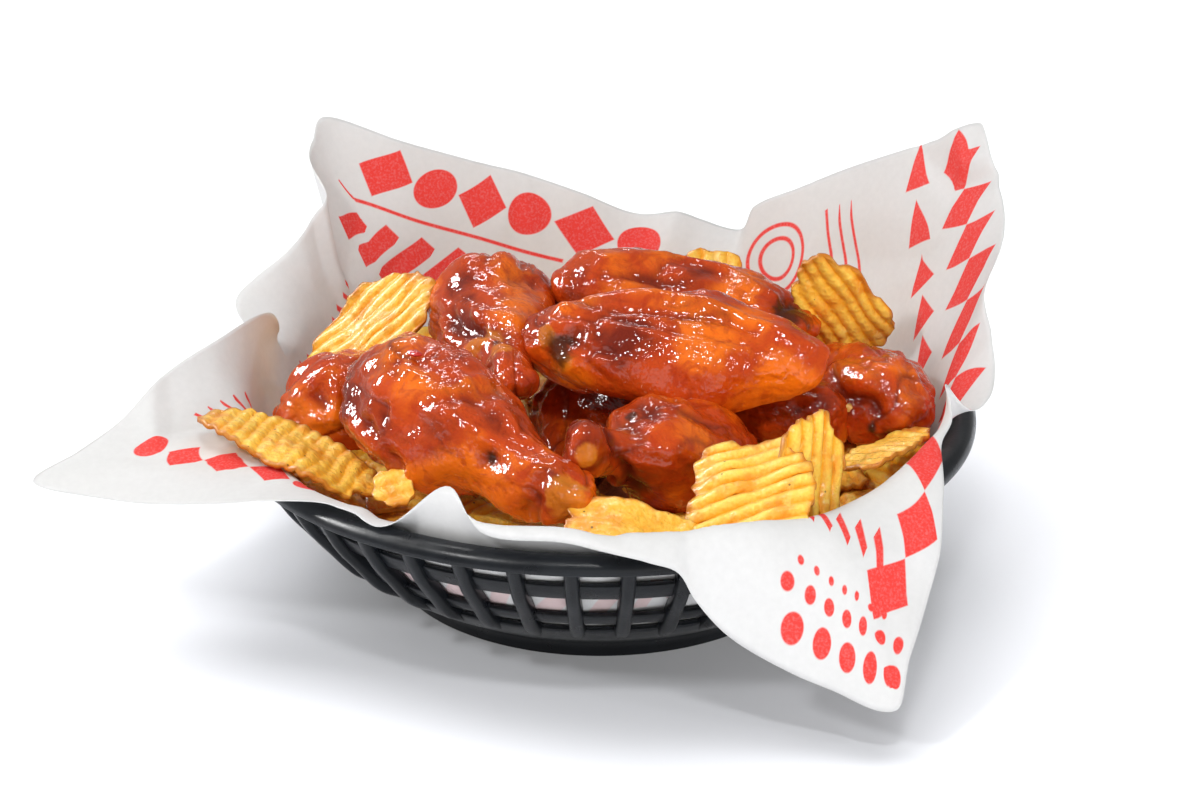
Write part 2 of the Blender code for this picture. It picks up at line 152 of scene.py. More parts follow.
class Looks:
    """A material whose nodes are added one call at a time."""

    def __init__(self, name):
        self.material = bpy.data.materials.new(name)
        self.material.use_nodes = True
        self.tree = self.material.node_tree
        self.shader = self.tree.nodes["Principled BSDF"]
        self.place = self.add("ShaderNodeTexCoord").outputs["Object"]

    def add(self, kind, inputs=None, **settings):
        node = self.tree.nodes.new(kind)
        for key, value in settings.items():
            setattr(node, key, value)
        for key, value in (inputs or {}).items():
            self.put(node.inputs[key], value)
        return node

    def put(self, socket, value):
        if isinstance(value, bpy.types.NodeSocket):
            self.tree.links.new(value, socket)
        elif isinstance(value, (tuple, list)) and len(value) == 3 and socket.type == "RGBA":
            socket.default_value = (*value, 1.0)
        else:
            socket.default_value = value

    def set(self, **inputs):
        for key, value in inputs.items():
            self.put(self.shader.inputs[key.replace("_", " ")], value)

    def math(self, operation, a, b=0.0, c=0.0):
        node = self.add("ShaderNodeMath", {0: a, 1: b, 2: c}, operation=operation)
        return node.outputs[0]

    def range(self, value, low, high, new_low=0.0, new_high=1.0):
        """Smooth rise from new_low to new_high as the value goes from low to high."""
        node = self.add("ShaderNodeMapRange", {0: value, 1: low, 2: high, 3: new_low, 4: new_high},
                        interpolation_type="SMOOTHSTEP")
        return node.outputs[0]

    def blend(self, share, first, second, how="MIX"):
        node = self.add("ShaderNodeMix", data_type="RGBA", blend_type=how)
        self.put(node.inputs["Factor"], share)
        self.put(node.inputs[6], first)
        self.put(node.inputs[7], second)
        return node.outputs[2]

    def noise(self, size, detail=2.0, where=None, distortion=0.0):
        """Noise from 0 to 1 with features of a size in millimetres."""
        inputs = {"Vector": where or self.place, "Scale": 1.0 / (size * MM), "Detail": detail,
                  "Distortion": distortion}
        return self.add("ShaderNodeTexNoise", inputs).outputs["Fac"]

    def cells(self, size, where=None, feature="F1"):
        inputs = {"Vector": where or self.place, "Scale": 1.0 / (size * MM)}
        return self.add("ShaderNodeTexVoronoi", inputs, feature=feature).outputs["Distance"]

    def painted(self, name):
        return self.add("ShaderNodeAttribute", attribute_name=name).outputs["Fac"]

    def bump(self, height, depth, after=None):
        """Relief of a height field from 0 to 1, its depth in millimetres."""
        inputs = {"Height": height, "Distance": depth * MM, "Strength": 1.0}
        if after is not None:
            inputs["Normal"] = after
        return self.add("ShaderNodeBump", inputs).outputs["Normal"]


# ---------------------------------------------------------------- basket

DISH_PROFILE = [
    (FOOT_RADIUS, 0.0),
    (FOOT_RADIUS + 1.5, 5.5),
    (79.0, 12.2),
    (89.5, 22.6),
    (96.8, 31.5),
    (102.4, 38.5),
    (106.6, 45.5),
    (109.0, 50.5),
    (110.2, 53.9),
]
RIM_PROFILE = [(111.2, 55.0), (112.6, 55.7), (114.1, 55.5), (115.2, 54.7), (115.7, 53.7), (115.7, 52.6)]
DISH_ROWS = [0.0, 2.5, 5.5, 9.0, 12.2, 15.0, 17.5, 19.0, 23.5, 25.5, 27.6, 32.5, 37.4, 40.3,
             43.2, 46.8, 50.6, 52.2, 53.9]
OPEN_BANDS = [(19.0, 23.5), (27.6, 37.4), (43.2, 50.6)]
GAP_COLUMNS = 3               # columns of the grid between two ribs
RIB_TIP = 13.5                # height of a rib's lower tip
RIB_HEAD = 53.0


def dish_radius(height):
    return curve_at([(z, r) for r, z in DISH_PROFILE], height)


def rib_sweep(points, faces, angle):
    """One upright bar: a rounded section swept up the dish, tapering to its lower tip."""
    section = [(-0.5, 0.0), (-0.5, 0.55), (-0.42, 0.85), (-0.22, 1.0), (0.22, 1.0), (0.42, 0.85),
               (0.5, 0.55), (0.5, 0.0)]
    steps = 26
    start = len(points)
    for j in range(steps + 1):
        height = RIB_TIP + (RIB_HEAD - RIB_TIP) * j / steps
        radius = dish_radius(height)
        slope = dish_radius(height + 0.5) - dish_radius(height - 0.5)
        outward = Vector((1.0, -slope)).normalized()
        taper = math.sqrt(clamp((height - RIB_TIP) / 5.0))
        proud = RIB_DEPTH * smoothstep(RIB_TIP - 1.0, RIB_TIP + 9.0, height)
        depth = BASKET_WALL + proud
        for side, out in section:
            spot = Vector((radius, height)) + outward * (out * depth - BASKET_WALL)
            turn = angle + side * RIB_WIDTH * max(taper, 0.05) / radius
            points.append((spot.x * math.cos(turn), spot.x * math.sin(turn), spot.y))
    count = len(section)
    for j in range(steps):
        for i in range(count):
            a = start + j * count + i
            b = start + j * count + (i + 1) % count
            faces.append((a, a + count, b + count, b))
    faces.append(tuple(start + i for i in range(count)))
    faces.append(tuple(start + steps * count + i for i in reversed(range(count))))


def build_basket():
    looks = basket_looks()
    angles = []
    for rib in range(RIB_COUNT):
        middle = 2.0 * math.pi * rib / RIB_COUNT
        half = 0.5 * RIB_WIDTH / RIM_RADIUS
        angles += [middle - half, middle + half]
        free = 2.0 * math.pi / RIB_COUNT - 2.0 * half
        angles += [middle + half + free * k / GAP_COLUMNS for k in range(1, GAP_COLUMNS)]
    profile = [(dish_radius(z), z) for z in DISH_ROWS] + RIM_PROFILE
    wide = len(angles)
    points = [(r * math.cos(a), r * math.sin(a), z) for r, z in profile for a in angles]
    faces = []
    group = GAP_COLUMNS + 1
    for j in range(len(profile) - 1):
        middle = 0.5 * (profile[j][1] + profile[j + 1][1])
        band = j < len(DISH_ROWS) - 1 and any(low < middle < high for low, high in OPEN_BANDS)
        for i in range(wide):
            if band and i % group:
                continue
            a, b = j * wide + i, j * wide + (i + 1) % wide
            faces.append((a, b, b + wide, a + wide))
    faces.append(tuple(reversed(range(wide))))
    shell = new_piece("basket_shell", points, faces, looks)
    wall = shell.modifiers.new("wall", "SOLIDIFY")
    wall.thickness = BASKET_WALL * MM
    wall.offset = -1.0
    edges = shell.modifiers.new("edges", "BEVEL")
    edges.width = 0.45 * MM
    edges.segments = 2
    edges.limit_method = "ANGLE"
    edges.angle_limit = math.radians(40.0)
    edges.use_clamp_overlap = True
    apply_modifiers(shell)
    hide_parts("basket")

    points, faces = [], []
    for rib in range(RIB_COUNT):
        rib_sweep(points, faces, 2.0 * math.pi * rib / RIB_COUNT)
    ribs = new_piece("basket_ribs", points, faces, looks)
    ribs.data.set_sharp_from_angle(angle=math.radians(60.0))
    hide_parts("basket")


def basket_looks():
    looks = Looks("moulded_plastic")
    grain = looks.noise(0.9, 3.0)
    wear = looks.range(looks.noise(14.0, 4.0), 0.35, 0.75)
    looks.set(
        Base_Color=looks.blend(wear, (0.005, 0.006, 0.008), (0.008, 0.010, 0.013)),
        Roughness=looks.range(looks.noise(7.0, 4.0), 0.3, 0.8, 0.27, 0.38),
        Specular_IOR_Level=0.26,
        Normal=looks.bump(grain, 0.03),
    )
    return looks.material


# ---------------------------------------------------------------- paper liner

# How the sheet leaves the basket, by direction in the flat sheet (degrees): the direction
# it takes seen from above, how far it first follows the wall's slope past the rim, and how
# far out from the rim and up from it its edge ends.
LINER_KEYS = [
    # sheet, plan, lift, out, up
    (46.5, 27.0, 22.0, 31.0, 71.0),        # right corner, standing
    (52.0, 33.5, 22.0, 25.5, 62.0),
    (60.0, 41.0, 20.0, 21.0, 53.0),
    (68.0, 49.5, 18.0, 19.0, 43.5),
    (75.0, 56.5, 16.0, 15.0, 35.0),
    (80.5, 63.5, 14.0, 10.0, 27.0),        # step at the back, where the sheet is pleated
    (83.5, 66.5, 12.0, 13.5, 17.0),
    (92.0, 76.8, 12.0, 12.5, 20.5),
    (98.0, 84.3, 12.0, 12.0, 20.0),
    (105.0, 93.0, 14.0, 12.0, 27.0),
    (112.0, 103.0, 16.0, 15.0, 34.5),
    (120.0, 112.5, 18.0, 15.0, 42.0),
    (127.0, 123.0, 20.0, 19.0, 51.0),
    (133.5, 132.5, 22.0, 29.0, 61.0),      # back corner, standing
    (140.0, 136.5, 22.0, 25.0, 56.0),
    (145.0, 139.0, 20.0, 21.0, 53.0),
    (149.0, 140.0, 20.0, 17.0, 50.0),
    (154.0, 141.0, 18.0, 8.5, 43.0),       # notch above the back lobe
    (159.0, 143.5, 14.0, 8.5, 38.0),
    (165.0, 147.0, 12.0, 10.5, 31.0),
    (170.0, 150.5, 10.0, 13.5, 25.5),
    (175.0, 154.0, 8.0, 18.0, 20.5),
    (180.0, 158.0, 6.0, 21.0, 15.0),       # back lobe, lying out over the rim
    (184.5, 161.0, 6.0, 13.0, 9.5),
    (190.0, 162.0, 8.0, 2.0, 9.0),         # fold between the two left lobes
    (197.0, 169.0, 16.0, -0.5, 22.0),      # front lobe, its tip curled in
    (203.0, 180.0, 14.0, 10.5, 21.5),
    (208.0, 188.0, 10.0, 26.0, 18.0),
    (214.0, 193.0, 8.0, 41.0, 8.5),
    (219.0, 196.5, 8.0, 54.5, 4.5),
    (223.5, 200.0, 8.0, 70.0, 1.0),        # left corner, lying out
    (229.0, 205.0, 8.0, 50.0, -1.8),
    (235.0, 213.5, 8.0, 29.0, 0.3),
    (243.0, 221.5, 7.0, 17.5, 5.5),
    (250.0, 229.0, 6.0, 10.5, 8.0),
    (258.0, 238.0, 5.0, 8.0, 5.0),
    (265.0, 247.0, 12.0, 1.0, 18.0),       # pointed fold at the front
    (271.0, 253.5, 16.0, 7.0, 8.0),
    (277.0, 264.6, 17.0, 9.5, 8.5),        # front lip
    (281.0, 270.5, 15.0, 13.0, 7.5),
    (286.0, 276.3, 15.5, 14.0, 4.0),
    (290.0, 280.0, 17.0, 13.5, 0.5),
    (294.0, 282.5, 20.0, 13.5, -8.5),
    (299.0, 287.0, 27.0, 15.0, -20.5),
    (304.5, 293.0, 27.0, 23.5, -29.0),
    (309.0, 297.5, 25.0, 31.0, -34.0),
    (316.5, 303.0, 23.0, 44.0, -38.5),     # front corner, hanging
    (320.0, 306.5, 19.0, 38.0, -27.5),
    (324.0, 312.0, 18.0, 30.5, -18.0),
    (328.0, 316.5, 17.0, 26.0, -7.0),
    (332.0, 321.0, 17.0, 18.5, 4.0),
    (336.0, 327.5, 17.0, 10.0, 12.0),
    (341.0, 334.0, 17.0, 8.0, 16.5),
    (346.0, 340.0, 16.0, 2.0, 22.0),       # fold at the right
    (352.0, 344.0, 10.0, 9.0, 10.5),
    (357.0, 349.0, 8.0, 13.5, 11.0),
    (362.0, 355.5, 10.0, 14.7, 15.5),
    (369.0, 360.5, 12.0, 13.5, 25.0),
    (376.0, 364.0, 14.0, 13.0, 34.0),
    (385.0, 370.0, 16.0, 20.5, 44.0),
    (391.0, 375.0, 18.0, 25.5, 50.0),
    (399.0, 380.5, 20.0, 27.5, 59.0),
]
SHEET_CENTRE = (0.0, 8.0)     # the sheet lies a little towards the back
RIM_SLOPE = math.radians(74.0)
SHEET_CELLS = 184
TABLE_TURN = 0.5              # degrees between the directions that are worked out
BEYOND_STEPS = 60             # and the steps of each from the rim to the sheet's edge
FLOOR_SWING = -14.0


def offset_profile(points, distance):
    """Points moved to the left of the way they run."""
    moved = []
    for i, (x, y) in enumerate(points):
        x0, y0 = points[max(i - 1, 0)]
        x1, y1 = points[min(i + 1, len(points) - 1)]
        length = math.hypot(x1 - x0, y1 - y0)
        moved.append((x - (y1 - y0) / length * distance, y + (x1 - x0) / length * distance))
    return moved


def liner_wall():
    """The sheet's path inside the basket, as (distance walked, radius, height)."""
    inner = offset_profile(DISH_PROFILE[1:], BASKET_WALL + 2.0 * LINER_GAP)
    path = [(0.0, FLOOR_HEIGHT), (FOOT_RADIUS - 8.5, FLOOR_HEIGHT)] + inner
    walked = 0.0
    result = [(0.0, *path[0])]
    for (r0, z0), (r1, z1) in zip(path, path[1:]):
        walked += math.hypot(r1 - r0, z1 - z0)
        result.append((walked, r1, z1))
    return result


LINER_WALL = liner_wall()
WALL_END, RIM_R, RIM_Z = LINER_WALL[-1]
WALL_RADII = [(walked, radius) for walked, radius, height in LINER_WALL]
WALL_HEIGHTS = [(walked, height) for walked, radius, height in LINER_WALL]
WALL_REACHES = np.linspace(0.0, WALL_END, 133)


def wall_share(reach):
    """0 on the basket's floor and 1 from the rim outwards."""
    step = np.clip((reach - 60.0) / (WALL_END - 60.0), 0.0, 1.0)
    return step * step * (3.0 - 2.0 * step)


def sheet_row(direction):
    """Radius, height and plan angle of the sheet in one direction, from its middle to its edge."""
    swings = [(row[0], (row[1] - row[0] + 180.0) % 360.0 - 180.0) for row in LINER_KEYS]
    turn = curve_round(swings, direction)
    lift, out, up = [curve_round([(row[0], row[n]) for row in LINER_KEYS], direction)
                     for n in (2, 3, 4)]
    t = np.linspace(0.0, 1.0, BEYOND_STEPS + 1)
    bend = 2.0 * t * (1.0 - t) * lift
    outward = bend * math.cos(RIM_SLOPE) + t * t * out
    upward = bend * math.sin(RIM_SLOPE) + t * t * up
    walked = np.concatenate([[0.0], np.cumsum(np.hypot(np.diff(outward), np.diff(upward)))])
    even = np.interp(t * walked[-1], walked, t)[1:]
    radius = [curve_at(WALL_RADII, reach) for reach in WALL_REACHES]
    height = [curve_at(WALL_HEIGHTS, reach) for reach in WALL_REACHES]
    radius = np.concatenate([radius, RIM_R + np.interp(even, t, outward)])
    height = np.concatenate([height, RIM_Z + np.interp(even, t, upward)])
    share = np.concatenate([wall_share(WALL_REACHES), np.ones(BEYOND_STEPS)])
    angle = direction + FLOOR_SWING + (turn - FLOOR_SWING) * share
    return radius, height, np.radians(angle)


def sheet_places(flat):
    """Places in space of points of the flat sheet, as an array."""
    turns = np.arange(0.0, 360.0 + TABLE_TURN, TABLE_TURN)
    rows = [sheet_row(turn) for turn in turns]
    radii, heights, angles = [np.array([row[n] for row in rows]) for n in range(3)]
    x, y = flat[:, 0] + SHEET_CENTRE[0], flat[:, 1] + SHEET_CENTRE[1]
    reach = np.hypot(x, y)
    towards = np.maximum(reach, 1e-6)
    half = 0.5 * SHEET_SIDE
    edge_x = (half + SHEET_CENTRE[0] * np.sign(x)) * towards / np.maximum(np.abs(x), 1e-6)
    edge_y = (half + SHEET_CENTRE[1] * np.sign(y)) * towards / np.maximum(np.abs(y), 1e-6)
    edge = np.minimum(edge_x, edge_y)
    beyond = np.clip((reach - WALL_END) / (edge - WALL_END), 0.0, 1.0) * BEYOND_STEPS
    last = len(WALL_REACHES) - 1
    column = np.minimum(reach / WALL_END, 1.0) * last + beyond
    direction = np.degrees(np.arctan2(y, x)) % 360.0
    i = np.minimum((direction / TABLE_TURN).astype(int), len(turns) - 2)
    j = np.minimum(column.astype(int), last + BEYOND_STEPS - 1)
    u = direction / TABLE_TURN - i
    v = column - j

    def read(table):
        low = table[i, j] * (1.0 - u) + table[i + 1, j] * u
        high = table[i, j + 1] * (1.0 - u) + table[i + 1, j + 1] * u
        return low * (1.0 - v) + high * v

    radius, height, angle = read(radii), read(heights), read(angles)
    return np.stack([radius * np.cos(angle), radius * np.sin(angle), height], axis=1)


CREASES = 64                  # straight creases of handled paper, each at a random place


def crumple(flat, places):
    """Height of soft dents and of long straight creases over the smooth sheet."""
    pick = random.Random(12)
    height = np.array([noise.noise(Vector(place) / 38.0) for place in places]) * 1.8
    for _ in range(CREASES):
        x, y = pick.uniform(-150.0, 150.0), pick.uniform(-150.0, 150.0)
        turn, half_length = pick.uniform(0.0, math.pi), pick.uniform(18.0, 60.0)
        width, depth = pick.uniform(6.0, 18.0), pick.uniform(0.7, 2.0) * pick.choice((-1.0, 1.0))
        along = (flat[:, 0] - x) * math.cos(turn) + (flat[:, 1] - y) * math.sin(turn)
        aside = (flat[:, 1] - y) * math.cos(turn) - (flat[:, 0] - x) * math.sin(turn)
        fade = np.clip(1.0 - (along / half_length) ** 2, 0.0, 1.0)
        height += depth * fade * np.clip(1.0 - np.abs(aside) / (width * fade + 0.1), 0.0, 1.0)
    return height


def build_paper():
    step = SHEET_SIDE / SHEET_CELLS
    lines = np.arange(SHEET_CELLS + 1) * step - 0.5 * SHEET_SIDE
    flat = np.array([(x, y) for y in lines for x in lines])
    places = sheet_places(flat)
    faces = grid_faces(SHEET_CELLS, SHEET_CELLS)
    looks = [paper_looks("printed_paper", 0.96), paper_looks("paper_back", 0.20)]
    paper = new_piece("paper_liner", places, faces, looks)
    mesh = paper.data
    normals = np.empty(len(mesh.vertices) * 3)
    mesh.vertices.foreach_get("normal", normals)
    normals = normals.reshape(-1, 3)
    reach = np.hypot(flat[:, 0] + SHEET_CENTRE[0], flat[:, 1] + SHEET_CENTRE[1])
    dents = crumple(flat, places) * wall_share(reach)
    # Against the basket the sheet can only be dented inwards.
    free = np.clip((reach - WALL_END - 7.0) / 10.0, 0.0, 1.0)
    dents = np.clip(dents, 0.0, 0.9) * (1.0 - free) + dents * free
    moved = (places + normals * dents[:, None]) * MM
    mesh.vertices.foreach_set("co", moved.ravel())
    print_map = mesh.uv_layers.new(name="sheet")
    corner_verts = np.empty(len(mesh.loops), dtype=np.int32)
    mesh.loops.foreach_get("vertex_index", corner_verts)
    print_map.data.foreach_set("uv", (flat[corner_verts] / SHEET_SIDE + 0.5).ravel())
    skin = paper.modifiers.new("thickness", "SOLIDIFY")
    skin.thickness = SHEET_THICKNESS * MM
    skin.offset = -1.0
    skin.material_offset = 1
    skin.material_offset_rim = 1
    apply_modifiers(paper)
    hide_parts("liner")
    return paper


# The print, in millimetres on the flat sheet from its middle, made of plain generic shapes.
# Each row of shapes: kind, centre, half width, half height, lean of each shape, turn of the
# row, pitch along it, and how many shapes there are on each side of the middle one.
PRINT = [
    ("bar", -78, 138, 7.6, 7.6, 45, 0, 40, 1),                # diamonds and discs along the back
    ("disc", -58, 138, 8.0, 8.0, 0, 0, 40, 1),
    ("bar", -94, 107, 4.4, 10.5, -24, 0, 14, 2),               # slanting stripes under it
    ("bar", -88, 124, 46, 0.7, 0, 0, 200, 0),
    ("ring", 36, 131, 11, 0.7, 0, 0, 200, 0),                 # thin lines at the right back
    ("ring", 36, 131, 6.5, 0.7, 0, 0, 200, 0),
    ("bar", 68, 125, 0.7, 17, 12, 0, 6.5, 1),
    ("bar", 138, 46, 8.2, 8.2, 45, 90, 23.5, 4),              # diamonds down the right edge
    ("triangle", 113, 106, 7, 8, -90, 90, 20, 2),
    ("bar", 139, -98, 7.5, 7.5, 45, 78, 21.5, 1),
    ("bar", 112, -106, 1.3, 8, 40, -10, 7, 2),                # strokes and dots, front corner
    ("disc", 122, -143, 3.9, 3.9, 0, 0, 12, 2),
    ("disc", 119, -133.5, 2.4, 2.4, 0, 0, 9, 3),
    ("disc", 116, -126.5, 1.3, 1.3, 0, 0, 7, 3),
    ("bar", -125, 28, 0.9, 4.2, 50, 90, 8, 4),                # small marks at the left
    ("disc", -114, 22, 1.6, 1.6, 0, 90, 9, 3),
    ("disc", -98, -124, 5.6, 5.6, 0, -8, 30, 1),
    ("bar", -98, -124, 5.2, 5.2, 45, -8, 15, 1),
    ("bar", -121, -80, 0.7, 9, 20, 80, 6, 2),
    ("bar", 10, -112, 2.6, 9, 25, 0, 13, 5),                  # stripes seen through the slots
]


def build_print_mask(looks):
    """1 where the sheet is printed."""
    chart = looks.add("ShaderNodeUVMap", uv_map="sheet").outputs["UV"]
    centred = looks.add("ShaderNodeVectorMath", {0: chart, 1: (0.5, 0.5, 0.0)}, operation="SUBTRACT")
    scaled = looks.add("ShaderNodeVectorMath", {0: centred.outputs[0]}, operation="SCALE")
    scaled.inputs["Scale"].default_value = SHEET_SIDE
    flat = scaled.outputs[0]
    mask = None
    for kind, x, y, half_x, half_y, lean, turn, pitch, times in PRINT:
        shape = looks.add("ShaderNodeGroup", node_tree=print_shape(kind))
        looks.put(shape.inputs["Flat"], flat)
        shape.inputs["Centre"].default_value = (x, y, 0.0)
        shape.inputs["Half"].default_value = (half_x, half_y, 1.0)
        shape.inputs["Lean"].default_value = math.radians(lean)
        shape.inputs["Turn"].default_value = math.radians(turn)
        shape.inputs["Pitch"].default_value = pitch
        shape.inputs["Times"].default_value = times
        mask = shape.outputs[0] if mask is None else looks.math("MAXIMUM", mask, shape.outputs[0])
    return mask


EDGE_SOFTNESS = 0.25


def print_shape(kind):
    """Node group for a row of one kind of printed shape; its inputs place and size them."""
    name = "print_" + kind
    if name in bpy.data.node_groups:
        return bpy.data.node_groups[name]
    group = bpy.data.node_groups.new(name, "ShaderNodeTree")
    for label in ("Flat", "Centre", "Half"):
        group.interface.new_socket(label, in_out="INPUT", socket_type="NodeSocketVector")
    for label in ("Lean", "Turn", "Pitch", "Times"):
        group.interface.new_socket(label, in_out="INPUT", socket_type="NodeSocketFloat")
    group.interface.new_socket("Mask", in_out="OUTPUT", socket_type="NodeSocketFloat")
    nodes, links = group.nodes, group.links
    given = nodes.new("NodeGroupInput").outputs
    result = nodes.new("NodeGroupOutput").inputs["Mask"]

    def number(operation, a, b=0.0, c=0.0):
        node = nodes.new("ShaderNodeMath")
        node.operation = operation
        for socket, value in zip(node.inputs, (a, b, c)):
            if isinstance(value, bpy.types.NodeSocket):
                links.new(value, socket)
            else:
                socket.default_value = value
        return node.outputs[0]

    def turned(vector, angle):
        node = nodes.new("ShaderNodeVectorRotate")
        node.rotation_type = "Z_AXIS"
        links.new(vector, node.inputs["Vector"])
        links.new(number("MULTIPLY", angle, -1.0), node.inputs["Angle"])
        return node.outputs[0]

    def parts(vector):
        node = nodes.new("ShaderNodeSeparateXYZ")
        links.new(vector, node.inputs[0])
        return node.outputs[0], node.outputs[1]

    away = nodes.new("ShaderNodeVectorMath")
    away.operation = "SUBTRACT"
    links.new(given["Flat"], away.inputs[0])
    links.new(given["Centre"], away.inputs[1])
    along, aside = parts(turned(away.outputs[0], given["Turn"]))
    nearest = number("ROUND", number("DIVIDE", along, given["Pitch"]))
    nearest = number("MINIMUM", nearest, given["Times"])
    nearest = number("MAXIMUM", nearest, number("MULTIPLY", given["Times"], -1.0))
    own = nodes.new("ShaderNodeCombineXYZ")
    links.new(number("SUBTRACT", along, number("MULTIPLY", nearest, given["Pitch"])), own.inputs[0])
    links.new(aside, own.inputs[1])
    x, y = parts(turned(own.outputs[0], given["Lean"]))
    wide, tall = parts(given["Half"])
    from_x = number("SUBTRACT", number("ABSOLUTE", x), wide)
    from_y = number("SUBTRACT", number("ABSOLUTE", y), tall)
    if kind == "bar":
        outside = number("MAXIMUM", from_x, from_y)
    elif kind == "triangle":
        share = number("DIVIDE", number("SUBTRACT", tall, y), number("MULTIPLY", tall, 2.0))
        slant = number("SUBTRACT", number("ABSOLUTE", x), number("MULTIPLY", wide, share))
        outside = number("MAXIMUM", slant, from_y)
    else:
        squares = number("ADD", number("MULTIPLY", x, x), number("MULTIPLY", y, y))
        outside = number("SUBTRACT", number("SQRT", squares), wide)
        if kind == "ring":
            outside = number("SUBTRACT", number("ABSOLUTE", outside), tall)
    soft = nodes.new("ShaderNodeMapRange")
    soft.inputs["From Min"].default_value = EDGE_SOFTNESS
    soft.inputs["From Max"].default_value = -EDGE_SOFTNESS
    links.new(outside, soft.inputs["Value"])
    links.new(soft.outputs[0], result)
    return group


def paper_looks(name, ink):
    looks = Looks(name)
    mask = build_print_mask(looks)
    worn = looks.range(looks.noise(0.8, 3.0), 0.25, 0.60, 0.88, 1.0)
    printed = looks.math("MULTIPLY", looks.math("MULTIPLY", mask, ink), worn)
    fibre = looks.noise(2.2, 5.0)
    white = looks.blend(fibre, (0.65, 0.647, 0.64), (0.72, 0.717, 0.71))
    looks.set(
        Base_Color=looks.blend(printed, white, (0.80, 0.030, 0.022)),
        Roughness=0.65,
        Specular_IOR_Level=0.05,
        Normal=looks.bump(looks.noise(1.3, 4.0), 0.03),
    )
    return looks.material


# ---------------------------------------------------------------- wings

# Half widths and half heights in millimetres along the length, from 0 to 1.
FORMS = {
    "drumette": {
        "length": 90.0,
        "blunt": 2.6,
        "width": [(0.0, 17.0), (0.2, 20.5), (0.42, 19.0), (0.63, 13.0), (0.8, 9.0),
                  (0.91, 10.0), (1.0, 9.5)],
        "height": [(0.0, 15.0), (0.2, 19.0), (0.42, 17.5), (0.63, 12.0), (0.8, 8.0),
                   (0.91, 9.0), (1.0, 8.5)],
        "lumps": 1.6,
    },
    "flat": {
        "length": 94.0,
        "blunt": 3.2,
        "width": [(0.0, 12.5), (0.15, 14.5), (0.4, 18.0), (0.66, 18.5), (0.86, 14.0),
                  (1.0, 9.0)],
        "height": [(0.0, 12.0), (0.15, 13.0), (0.4, 12.0), (0.66, 10.5), (0.86, 8.5),
                   (1.0, 6.0)],
        "lumps": 1.0,
    },
}
WING_SIDES = 120
WING_RINGS = 140

# Each wing: name, form, the two ends of its axis (thick end first), roll, girth, and how
# its skin looks: depth of its lengthwise folds, size of its lumps, share of orange.
WINGS = [
    ("wing_front_top", "flat", (-24, -12, 81), (69, -24, 78), 42, 1.0, 0.9, 0.6, 0.42),
    ("wing_back_top", "flat", (-15, 27, 84), (70, 20, 72), 25, 1.0, 0.9, 0.6, 0.46),
    ("wing_front_left", "drumette", (-73, -23, 74), (-3, -85, 60), 0, 1.15, 0.9, 1.1, 0.42),
    ("wing_back_left", "drumette", (-38, 50, 73), (-26, -38, 75), 0, 1.05, 1.3, 1.2, 0.42),
    ("wing_centre", "drumette", (42, -26, 47), (-8, -73, 71), 0, 1.0, 0.5, 1.3, 0.42),
    ("wing_right_back", "drumette", (98, -26, 60), (62, 38, 57), 0, 0.85, 0.8, 1.1, 0.46),
    ("wing_right_front", "flat", (76, -20, 57), (22, 14, 54), 25, 1.0, 0.6, 0.8, 0.50),
    ("wing_left", "drumette", (-96, -16, 59), (-46, 20, 50), 0, 0.9, 0.9, 1.9, 0.42),
    ("wing_low", "drumette", (2, 40, 47), (-12, -44, 42), 0, 0.98, 0.8, 1.0, 0.25),
]

# Places on the wings that differ: kind, centre, radius.
MARKS = [
    ("char", (60, 14, 79), 8.0), ("char", (9, -52.5, 73.5), 3.0), ("char", (-31, -20, 82.5), 3.0),
    # The first place on the next line makes the skin darker under the front top wing's knuckle.
    ("char", (-12, -24, 82.5), 6.0), ("char", (84, -24, 57), 2.5), ("char", (-32, -76, 70), 2.6),
    ("bone", (-35, -14, 81), 6.0), ("bone", (-30, -24, 82), 4.0), ("bone", (-10, -86, 63), 6.5),
    ("bone", (-3, -77, 71), 4.0), ("bone", (-16, -22, 86), 4.0), ("bone", (-9, -25, 79), 3.5),
    # Golden patches on the wings' tops: partly the skin's own tone, partly a painted highlight where
    # light falls on them.
    ("lit_gold", (-56, -42, 88), 12.0), ("lit_gold", (-40, -62, 82), 9.0), ("lit_gold", (18, 20, 92), 13.0),
    ("lit_gold", (42, 20, 88), 12.0), ("lit_gold", (30, -30, 85), 14.0), ("lit_gold", (56, -30, 76), 12.0),
    ("lit_gold", (-30, 20, 90), 9.0), ("lit_gold", (88, -22, 64), 8.0),
    ("sleek", (-64, -38, 84), 13.0), ("sleek", (-57, -56, 80), 9.0), ("sleek", (8, -14, 94), 9.0),
    ("sleek", (38, -20, 91), 10.0), ("sleek", (8, 24, 93), 9.0), ("sleek", (34, 24, 90), 9.0),
    ("sleek", (-38, 18, 92), 8.0), ("sleek", (24, -61, 68), 8.0),
]

